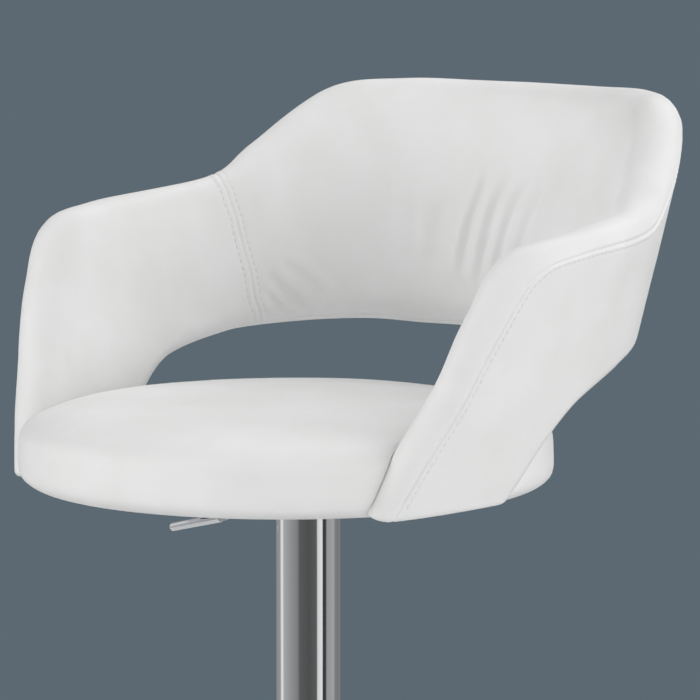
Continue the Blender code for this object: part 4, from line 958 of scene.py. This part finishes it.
# seams and topstitching, depths and widths in mm; a channel is the dent that a row of stitches pulls
seams = {
    "edgeDepth": 1.25, "edgeWidth": 1.15, "edgeRoll": 0.40, "rollAt": 3.4, "rollWidth": 1.8,
    "edgeChannel": 0.50, "channelAt": 5.5, "channelWidth": 1.0, "outerRoll": 0.22, "outerRollAt": 8.5,
    "panelDepth": 0.85, "panelWidth": 1.0, "panelRoll": 0.28, "panelRollAt": 3.0, "panelRollWidth": 1.6,
    "panelChannel": 0.38, "panelChannelAt": 6.0, "footFade": 30, "plainTops": (62, 0),
}
foamUneven = {"waves": 14, "depth": 0.09, "length": 0.16}


def shapeBand():
    draft, shares, alongs = bandGrid(band["slim"])
    rings, rows = draft.shape[:2]
    held = np.zeros((rings, rows))
    held[:, 0] = held[:, band["outerRows"]] = 1.0
    held[:band["capRings"] + 2] = held[-band["capRings"] - 2:] = 1.0
    puffed = inflate(draft, held, band["pressure"], band["puff"], band["stretch"])
    fine, highSeam, panelSeams = refineBand(puffed, shares, alongs)
    normals = gridNormals(fine)
    around = runLengths(fine.transpose(1, 0, 2)).T
    along = runLengths(fine)
    offset = np.zeros(fine.shape[:2])
    loop = around[:, -1:] + np.linalg.norm(fine[:, :1] - fine[:, -1:], axis=-1)
    signedLow = np.where(around < loop / 2, around, around - loop)
    signedHigh = around - around[:, highSeam:highSeam + 1]
    # the foot's ends tuck under, so their seams fade
    fade = np.clip(np.minimum(along, along[-1:] - along) / (seams["footFade"] * mm), 0, 1)
    stitchTurn = 2 * math.pi / stitching["pitch"]
    for distance in (signedHigh, signedLow):
        groove = bell(distance, seams["edgeWidth"] * mm) * (0.4 + 0.6 * fade)
        rolls = bell(np.abs(distance) - seams["rollAt"] * mm, seams["rollWidth"] * mm) * fade
        offset += (seams["edgeRoll"] * rolls - seams["edgeDepth"] * groove) * mm
    channel = bell(signedHigh + seams["channelAt"] * mm, seams["channelWidth"] * mm)
    offset -= seams["edgeChannel"] * mm * channel * (0.65 + 0.35 * np.cos(along * stitchTurn)) * fade
    # the roll beyond the stitches swells and sinks as the cover was pulled
    pull = 0.85 + 0.15 * np.sin(along * 2 * math.pi / 0.031) * np.sin(along * 2 * math.pi / 0.053 + 1)
    outerRoll = bell(signedHigh + seams["outerRollAt"] * mm, seams["rollWidth"] * mm)
    offset += seams["outerRoll"] * mm * outerRoll * pull * fade
    innerSide = (np.arange(fine.shape[1]) > highSeam)[None, :]
    fromLow = np.minimum(around, loop - around)
    edgeFade = np.clip(np.minimum(np.abs(signedHigh), fromLow) / (4 * mm), 0, 1)
    for column, plainTop in zip(panelSeams, seams["plainTops"]):
        distance = along - along[column:column + 1]
        shown = np.clip((np.abs(signedHigh) - plainTop * mm) / (12 * mm), 0, 1) if plainTop else 1
        cut = seams["panelDepth"] * bell(distance, seams["panelWidth"] * mm)
        cut -= seams["panelRoll"] * bell(np.abs(distance) - seams["panelRollAt"] * mm,
                                         seams["panelRollWidth"] * mm)
        cut += seams["panelChannel"] * (0.7 + 0.3 * np.cos(around * stitchTurn)) \
            * bell(np.abs(distance) - seams["panelChannelAt"] * mm, seams["channelWidth"] * mm)
        offset -= cut * mm * innerSide * edgeFade * shown
    for path, depth, width in folds:
        dense = np.linspace(0, len(path) - 1, 12)
        angle, height = (np.interp(dense, np.arange(len(path)), value) for value in np.array(path).T)
        line = onBand(angle, height) - outOfBand(angle, height) * band["thickness"] / 2
        near = (slice(None), slice(highSeam, None))
        distance, share = distanceToPath(fine[near], line)
        ends = np.sin(np.clip(share, 0.0, 1.0) * math.pi) ** 0.6
        wave = bell(distance, width * mm) - 0.55 * bell(distance - 1.9 * width * mm, 1.1 * width * mm)
        offset[near] -= depth * mm * wave * ends
    # a faint unevenness of foam under the cover, a hand's width across
    for _ in range(foamUneven["waves"]):
        wave = dice.normal(size=3) * 2 * math.pi / foamUneven["length"]
        offset += foamUneven["depth"] * mm * np.sin(fine @ wave + dice.uniform(0, 6.28))
    return fine + normals * offset[..., None], highSeam, panelSeams


stitching = {"pitch": 0.0064, "length": 0.0050, "thread": 0.00037, "sides": 6,
             "stations": 6, "lift": 0.34, "dive": 0.95, "panelStarts": (0.066, 0.002), "edgeStart": 0.020}


def stitchRun(points, normals, fromEnds):
    # short threads along a line of surface points: each dives into the cover at both ends
    lengths = np.append(0, np.cumsum(np.linalg.norm(np.diff(points, axis=0), axis=1)))
    verts, faces = [], []
    start = fromEnds
    while start + stitching["length"] < lengths[-1] - fromEnds:
        share = np.linspace(0, 1, stitching["stations"])
        at = start + share * stitching["length"]
        place = np.stack([np.interp(at, lengths, points[:, k]) for k in range(3)], -1)
        up = unit(np.stack([np.interp(at, lengths, normals[:, k]) for k in range(3)], -1))
        lift = (stitching["lift"] - stitching["dive"] * np.abs(2 * share - 1) ** 3) * mm
        middle = place + up * lift[:, None]
        ahead = unit(np.gradient(middle, axis=0))
        side = unit(np.cross(ahead, up))
        first = len(verts)
        for m, u, s, t in zip(middle, up, side, share):
            radius = stitching["thread"] * (1 - 0.35 * abs(2 * t - 1) ** 2)
            for turn in np.linspace(0, 2 * math.pi, stitching["sides"], endpoint=False):
                verts.append(m + radius * (math.cos(turn) * s + math.sin(turn) * u))
        n = stitching["sides"]
        for ring in range(stitching["stations"] - 1):
            for k in range(n):
                a, b = first + ring * n + k, first + ring * n + (k + 1) % n
                faces.append((a, b, b + n, a + n))
        faces.append(tuple(first + k for k in range(n))[::-1])
        faces.append(tuple(first + (stitching["stations"] - 1) * n + k for k in range(n)))
        start += stitching["pitch"]
    return verts, faces


def stitchPiece(name, runs):
    verts, faces = [], []
    for points, normals, fromEnds in runs:
        newVerts, newFaces = stitchRun(points, normals, fromEnds)
        faces += [tuple(i + len(verts) for i in face) for face in newFaces]
        verts += newVerts
    mesh = bpy.data.meshes.new(name)
    mesh.from_pydata([tuple(v) for v in verts], [], faces)
    obj = bpy.data.objects.new(name, mesh)
    bpy.context.scene.collection.objects.link(obj)
    mergeAndFaceOut(obj, 1e-7)
    return finishPiece(obj, thread, "seat", smoothAngle=60)


shaped, highSeam, panelSeams = shapeBand()
wraparound = meshFromGrid("wraparoundBand", shaped)
finishPiece(wraparound, cover, "seat", ["band_inner_pad", "band_outer_pad"],
            smoothAngle=0)
print("band ready,", len(wraparound.data.vertices), "points")

# the topstitching sits in the channels: rows a fixed way from the edge seams, columns from the panel seams
surfaceNormals = gridNormals(shaped)
channelStep = int(np.argmin(np.abs(nearSeam - seams["channelAt"] * mm)))
panelStep = int(np.argmin(np.abs(nearPanelSeam - seams["panelChannelAt"] * mm)))
edgeRow = highSeam - channelStep
innerRows = slice(highSeam + 6, shaped.shape[1] - 6)
panelRuns = []
for column, start in zip(panelSeams, stitching["panelStarts"]):
    for side in (1, -1):
        row = column + side * panelStep
        panelRuns.append((shaped[row, innerRows], surfaceNormals[row, innerRows], start))
stitchPiece("edgeTopstitching", [(shaped[:, edgeRow], surfaceNormals[:, edgeRow], stitching["edgeStart"])])
stitchPiece("panelTopstitching", panelRuns)
print("stitching ready")

cushion = {
    "radius": 0.2245, "forward": 0.0285, "underside": 0.740, "thickness": 0.0695, "waist": 0.035,
    "crown": 0.008, "topPower": 0.50, "bottomPower": 0.30, "hemInner": 0.168, "hemThickness": 0.0011,
    "spokes": 150,
    "creaseDepth": 0.0035, "creaseWidth": 0.009, "notchGap": 0.0005, "pressure": 3.5, "puff": 0.0018,
    "stretch": 20.0, "draftRings": 46, "rings": 120, "fineSpokes": 330, "boardRadius": 0.1806,
    "boardTop": 0.0196,
}


def cushionProfile(steps):
    # from near the middle of the top, round the edge, to the hem folded under the board
    turn = np.linspace(math.pi / 2, -math.pi / 2, steps)
    power = np.where(turn > 0, cushion["topPower"], cushion["bottomPower"])
    out = np.cos(turn).clip(0) ** power
    lift = np.abs(np.sin(turn)) ** power
    top = cushion["waist"] + (cushion["thickness"] - cushion["waist"]) * lift \
        + cushion["crown"] * (1 - out * out)
    z = np.where(turn > 0, top, cushion["waist"] * (1 - lift))
    return np.stack([cushion["radius"] * out, cushion["underside"] + z], -1)


def cushionGrid():
    dense = cushionProfile(1600)
    hem = cushion["hemInner"]
    cut = np.argmax((dense[:, 1] < cushion["underside"] + 0.012) & (dense[:, 0] < hem))
    dense = dense[:cut] if cut else dense
    length = np.append(0, np.cumsum(np.linalg.norm(np.diff(dense, axis=0), axis=1)))
    want = np.linspace(0.004, length[-1], cushion["draftRings"])
    profile = np.stack([np.interp(want, length, dense[:, k]) for k in (0, 1)], -1)
    turns = np.linspace(0, 2 * math.pi, cushion["spokes"], endpoint=False)
    ring = np.stack([np.cos(turns), np.sin(turns)], -1)
    grid = np.zeros((len(profile), len(turns), 3))
    grid[..., :2] = profile[:, None, :1] * ring[None]
    grid[..., 1] -= cushion["forward"]
    grid[..., 2] = profile[:, None, 1]
    return grid


# small folds of the seat cover beside the arms' feet and towards the back: points, depth and width in mm
seatFolds = [
    ([(0.196, -0.150, 0.800), (0.190, -0.166, 0.780), (0.184, -0.172, 0.755)], 0.9, 3.0),
    ([(0.186, -0.160, 0.798), (0.178, -0.174, 0.782), (0.172, -0.180, 0.757)], 0.7, 3.4),
    ([(-0.196, -0.150, 0.800), (-0.190, -0.166, 0.780), (-0.184, -0.172, 0.755)], 0.8, 3.2),
    ([(0.150, 0.090, 0.812), (0.172, 0.112, 0.806), (0.186, 0.126, 0.796)], 0.6, 4.0),
    ([(-0.150, 0.090, 0.812), (-0.172, 0.112, 0.806), (-0.186, 0.126, 0.796)], 0.6, 4.0),
]


seatUneven = {"waves": 12, "depth": 0.10, "length": 0.20}


def shapeCushion():
    grid = cushionGrid()
    held = np.zeros(grid.shape[:2])
    held[grid[..., 2] < cushion["underside"] + 0.006] = 1.0
    puffed = inflate(grid, held, cushion["pressure"], cushion["puff"], cushion["stretch"])
    puffed[..., 2] -= 0.0006
    length = runLengths(puffed)
    want = np.linspace(0, 1, cushion["rings"])[:, None] * length[-1:]
    marks = np.arange(len(length))
    places = np.stack([np.interp(want[:, c], length[:, c], marks) for c in range(grid.shape[1])], -1)
    fine = readAlong(puffed, places)
    spokes = np.linspace(0, grid.shape[1], cushion["fineSpokes"], endpoint=False)
    around = np.repeat(spokes[:, None], fine.shape[0], axis=1)
    fine = readAlong(fine.transpose(1, 0, 2), around, closed=True).transpose(1, 0, 2)
    normals = gridNormals(fine)
    offset = np.zeros(fine.shape[:2])
    # the cover rolls down into the crease against the band
    bandTree = BVHTree.FromPolygons([tuple(v.co) for v in wraparound.data.vertices],
                                    [tuple(p.vertices) for p in wraparound.data.polygons])
    flat = fine.reshape(-1, 3)
    gaps = np.full(len(flat), 1.0)
    for index, point in enumerate(flat):
        found = bandTree.find_nearest(point.tolist(), 0.040)
        if found[0] is not None:
            side = (Vector(point) - found[0]).dot(found[1])
            gaps[index] = found[3] if side > 0 else -found[3]
    gaps = gaps.reshape(offset.shape)
    roll = np.exp(-np.clip(gaps, 0, None) / cushion["creaseWidth"])
    above = np.clip((fine[..., 2] - cushion["underside"] - 0.004) / 0.010, 0, 1)
    offset -= cushion["creaseDepth"] * roll ** 2 * above
    for path, depth, width in seatFolds:
        distance, share = distanceToPath(fine, path)
        offset -= depth * mm * bell(distance, width * mm) * np.sin(share * math.pi) ** 0.7
    for _ in range(seatUneven["waves"]):
        wave = dice.normal(size=3) * 2 * math.pi / seatUneven["length"]
        offset += seatUneven["depth"] * mm * np.sin(fine @ wave + dice.uniform(0, 6.28)) * above
    shapedSeat = fine + normals * offset[..., None]
    # the hem goes on under the board, then turns up and back out over itself
    edge = shapedSeat[-1]
    centre = np.array([0, -cushion["forward"], 0])
    outwardFlat = unit((edge - centre) * np.array([1, 1, 0]))
    inner = []
    for radius, z in ((cushion["hemInner"] - 0.001, 0.0004),
                      (cushion["hemInner"] - 0.001, cushion["hemThickness"]),
                      (cushion["boardRadius"], cushion["hemThickness"]),
                      (cushion["boardRadius"], cushion["boardTop"]), (0.100, cushion["boardTop"])):
        ring = centre + outwardFlat * radius
        ring[:, 2] = cushion["underside"] + z
        inner.append(ring)
    return np.concatenate([shapedSeat, np.array(inner)])


seatCushion = meshFromGrid("seatCushion", shapeCushion())


def cutNotches():
    # the cushion gives way to the band's feet: their shape, a hair larger, is taken out of it
    swollen = meshFromGrid("footSpace", (shaped + surfaceNormals * cushion["notchGap"])[::3])
    applyModifier(seatCushion, "BOOLEAN", operation="DIFFERENCE", solver="EXACT", object=swollen)
    bpy.data.objects.remove(swollen, do_unlink=True)


cutNotches()
seatCushion.data.shade_smooth()
finishPiece(seatCushion, cover, "seat", ["seat_cushion"], smoothAngle=50)
print("seat cushion ready,", len(seatCushion.data.vertices), "points")

dustCover = {"radius": 0.174, "thickness": 0.0005, "staples": 26, "stapleRadius": 0.1715}


def seatLining():
    # flat on the board in the middle, sagging a little beside the plate, and over the cover's hem at its edge
    grid = []
    turns = np.linspace(0, 2 * math.pi, 180, endpoint=False)
    for radius in np.concatenate([np.linspace(0.004, 0.150, 20),
                                  np.linspace(0.154, dustCover["radius"], 10)]):
        step = np.clip((radius - 0.155) / 0.010, 0, 1)
        drop = 0.0016 * step * step * (3 - 2 * step)
        sag = 0.0009 * np.clip((radius - 0.115) / 0.02, 0, 1) * np.clip((0.152 - radius) / 0.02, 0, 1)
        tug = 0.35 * mm * np.cos(turns * dustCover["staples"]) * step
        ring = np.stack([radius * np.cos(turns), radius * np.sin(turns) - cushion["forward"],
                         np.full_like(turns, cushion["underside"] + 0.0006) - drop - sag - tug], -1)
        grid.append(ring)
    under = np.array(grid)
    over = under + np.array([0, 0, dustCover["thickness"]])
    obj = meshFromGrid("seatLining", np.concatenate([under, over[::-1]]))
    finishPiece(obj, lining, "seat", ["seat_lining"], smoothAngle=0)
    return obj


def staples():
    # one fine-wire staple, a small rounded bar, copied round the lining's edge
    pieces = []
    for index in range(dustCover["staples"]):
        turn = 2 * math.pi * index / dustCover["staples"]
        deselectAll()
        bpy.ops.mesh.primitive_cube_add(size=1, location=(0, 0, 0))
        staple = bpy.context.object
        bpy.ops.transform.resize(value=(0.0006, 0.0098, 0.0005))
        bpy.ops.object.transform_apply(location=True, rotation=True, scale=True)
        softenEdges(staple, 0.00018, segments=2)
        radius = dustCover["stapleRadius"] - 0.0035
        at = (radius * math.cos(turn), radius * math.sin(turn) - cushion["forward"],
              cushion["underside"] - 0.0014)
        staple.matrix_world = Matrix.Translation(at) @ Matrix.Rotation(turn, 4, "Z")
        bpy.ops.object.transform_apply(location=True, rotation=True, scale=True)
        pieces.append(staple)
    deselectAll()
    for staple in pieces:
        staple.select_set(True)
    bpy.context.view_layer.objects.active = pieces[0]
    bpy.ops.object.join()
    pieces[0].name = "liningStaples"
    return finishPiece(pieces[0], zinc, "seat", smoothAngle=40)


seatLining()
staples()
print("lining ready")

studio = {
    "cameraAt": (2.7012, -3.2033, 1.352), "tilt": 6.799, "turn": 39.657, "lens": 258.4,
    "backdrop": "#5C6972", "dome": 0.19,
    # softboxes round the stool: azimuth from the front towards its +X side, elevation, watts
    "softboxes": {
        "frontRight": (62, 10, 33), "right": (107, 10, 40), "left": (-28, 10, 34),
        "rightHigh": (130, 40, 35),
        "leftHigh": (-50, 40, 33), "lowFront": (-5, -20, 36), "rearHigh": (-162, 40, 50),
    },
    "boxSize": 2.2, "boxDistance": 3.4, "aim": (0, 0, 0.9),
    # what polished metal sees round the room: (degrees from the camera towards its right, brightness)
    "cards": [(-180, 0.24), (-119, 0.38), (-115, 0.88), (-104, 0.88), (-99, 0.49), (-64, 0.35), (-40, 0.27),
              (-30, 0.125), (4, 0.095), (31, 0.13), (34, 0.76), (52, 0.95), (54, 0.05), (66, 0.05),
              (71, 0.38), (104, 0.45), (116, 0.24), (180, 0.23)],
}


def camera():
    data = bpy.data.cameras.new("camera")
    data.lens, data.sensor_width = studio["lens"], 36.0
    obj = bpy.data.objects.new("camera", data)
    obj.location = studio["cameraAt"]
    obj.rotation_euler = (math.radians(90 - studio["tilt"]), 0, math.radians(studio["turn"]))
    bpy.context.scene.collection.objects.link(obj)
    bpy.context.scene.camera = obj


def softbox(name, azimuth, elevation, power):
    turn, lift = math.radians(azimuth), math.radians(elevation)
    towards = Vector((math.sin(turn) * math.cos(lift), -math.cos(turn) * math.cos(lift), math.sin(lift)))
    data = bpy.data.lights.new(name, "AREA")
    data.shape, data.size, data.energy = "SQUARE", studio["boxSize"], power
    obj = bpy.data.objects.new(name, data)
    obj.location = Vector(studio["aim"]) + towards * studio["boxDistance"]
    obj.rotation_euler = (-towards).to_track_quat("-Z", "Y").to_euler()
    bpy.context.scene.collection.objects.link(obj)
    obj.visible_camera = obj.visible_glossy = False


def world():
    # the backdrop for the eye, a soft even dome for lighting, and a ring of cards for the chrome to mirror
    bpy.context.scene.view_settings.view_transform = "Standard"
    sky = bpy.data.worlds.new("studio")
    bpy.context.scene.world = sky
    sky.use_nodes = True
    tree = sky.node_tree
    tree.nodes.clear()
    rays = addNode(tree, "ShaderNodeLightPath").outputs
    direction = addNode(tree, "ShaderNodeTexCoord").outputs["Generated"]
    parts = addNode(tree, "ShaderNodeSeparateXYZ", [(direction, "Vector")]).outputs
    front = addNode(tree, "ShaderNodeMath", [(parts["Y"], 0)], operation="MULTIPLY")
    front.inputs[1].default_value = -1.0
    turn = addNode(tree, "ShaderNodeMath", [(parts["X"], 0), (front.outputs[0], 1)], operation="ARCTAN2")
    # half a turn is added so that the ring of cards starts behind the stool, as seen from the camera
    start = math.radians(studio["turn"]) - math.pi
    fromStart = addNode(tree, "ShaderNodeMath", [(turn.outputs[0], 0)], operation="SUBTRACT")
    fromStart.inputs[1].default_value = start
    share = addNode(tree, "ShaderNodeMath", [(fromStart.outputs[0], 0)], operation="DIVIDE")
    share.inputs[1].default_value = 2 * math.pi
    wrapped = addNode(tree, "ShaderNodeMath", [(share.outputs[0], 0)], operation="FLOORED_MODULO")
    wrapped.inputs[1].default_value = 1.0
    ring = addNode(tree, "ShaderNodeValToRGB", [(wrapped.outputs[0], "Fac")])
    stops = ring.color_ramp.elements
    while len(stops) < len(studio["cards"]):
        stops.new(0.5)
    for stop, (azimuth, bright) in zip(stops, studio["cards"]):
        stop.position = (azimuth + 180) / 360
        stop.color = (bright, bright, bright, 1)
    # over the cards the room is bright, under them it is the floor
    level = addNode(tree, "ShaderNodeMath", [(parts["Z"], 0)], operation="ABSOLUTE")
    high = addNode(tree, "ShaderNodeMapRange", [(level.outputs[0], "Value")], From_Min=0.35, From_Max=0.75)
    mixed = addNode(tree, "ShaderNodeMix", [(high.outputs["Result"], 0), (ring.outputs["Color"], 6)],
                    data_type="RGBA")
    ceiling = addNode(tree, "ShaderNodeMapRange", [(parts["Z"], "Value")], From_Min=-0.7, From_Max=0.8,
                      To_Min=0.35, To_Max=1.15)
    tree.links.new(ceiling.outputs["Result"], mixed.inputs[7])
    mirrored = addNode(tree, "ShaderNodeBackground", [(mixed.outputs[2], "Color")], Strength=1.0)
    dome = addNode(tree, "ShaderNodeBackground", Color=(1, 1, 1, 1), Strength=studio["dome"])
    wall = addNode(tree, "ShaderNodeBackground", Color=toLinear(studio["backdrop"]), Strength=1.0)
    lit = addNode(tree, "ShaderNodeMixShader", [(rays["Is Glossy Ray"], "Fac")])
    tree.links.new(dome.outputs["Background"], lit.inputs[1])
    tree.links.new(mirrored.outputs["Background"], lit.inputs[2])
    both = addNode(tree, "ShaderNodeMixShader", [(rays["Is Camera Ray"], "Fac")])
    tree.links.new(lit.outputs["Shader"], both.inputs[1])
    tree.links.new(wall.outputs["Background"], both.inputs[2])
    addNode(tree, "ShaderNodeOutputWorld", [(both.outputs["Shader"], "Surface")])


def floor():
    deselectAll()
    bpy.ops.mesh.primitive_circle_add(vertices=128, radius=1.6, fill_type="NGON", location=(0, 0, -0.0002))
    obj = bpy.context.object
    obj.name = "studioFloor"
    obj.data.materials.append(speckled("paleFloor", "#D2D3D3", "#DADBDB", 0.55, 4.0, 0.02))


camera()
world()
floor()
for name, (azimuth, elevation, power) in studio["softboxes"].items():
    softbox(name, azimuth, elevation, power)
print("studio ready")
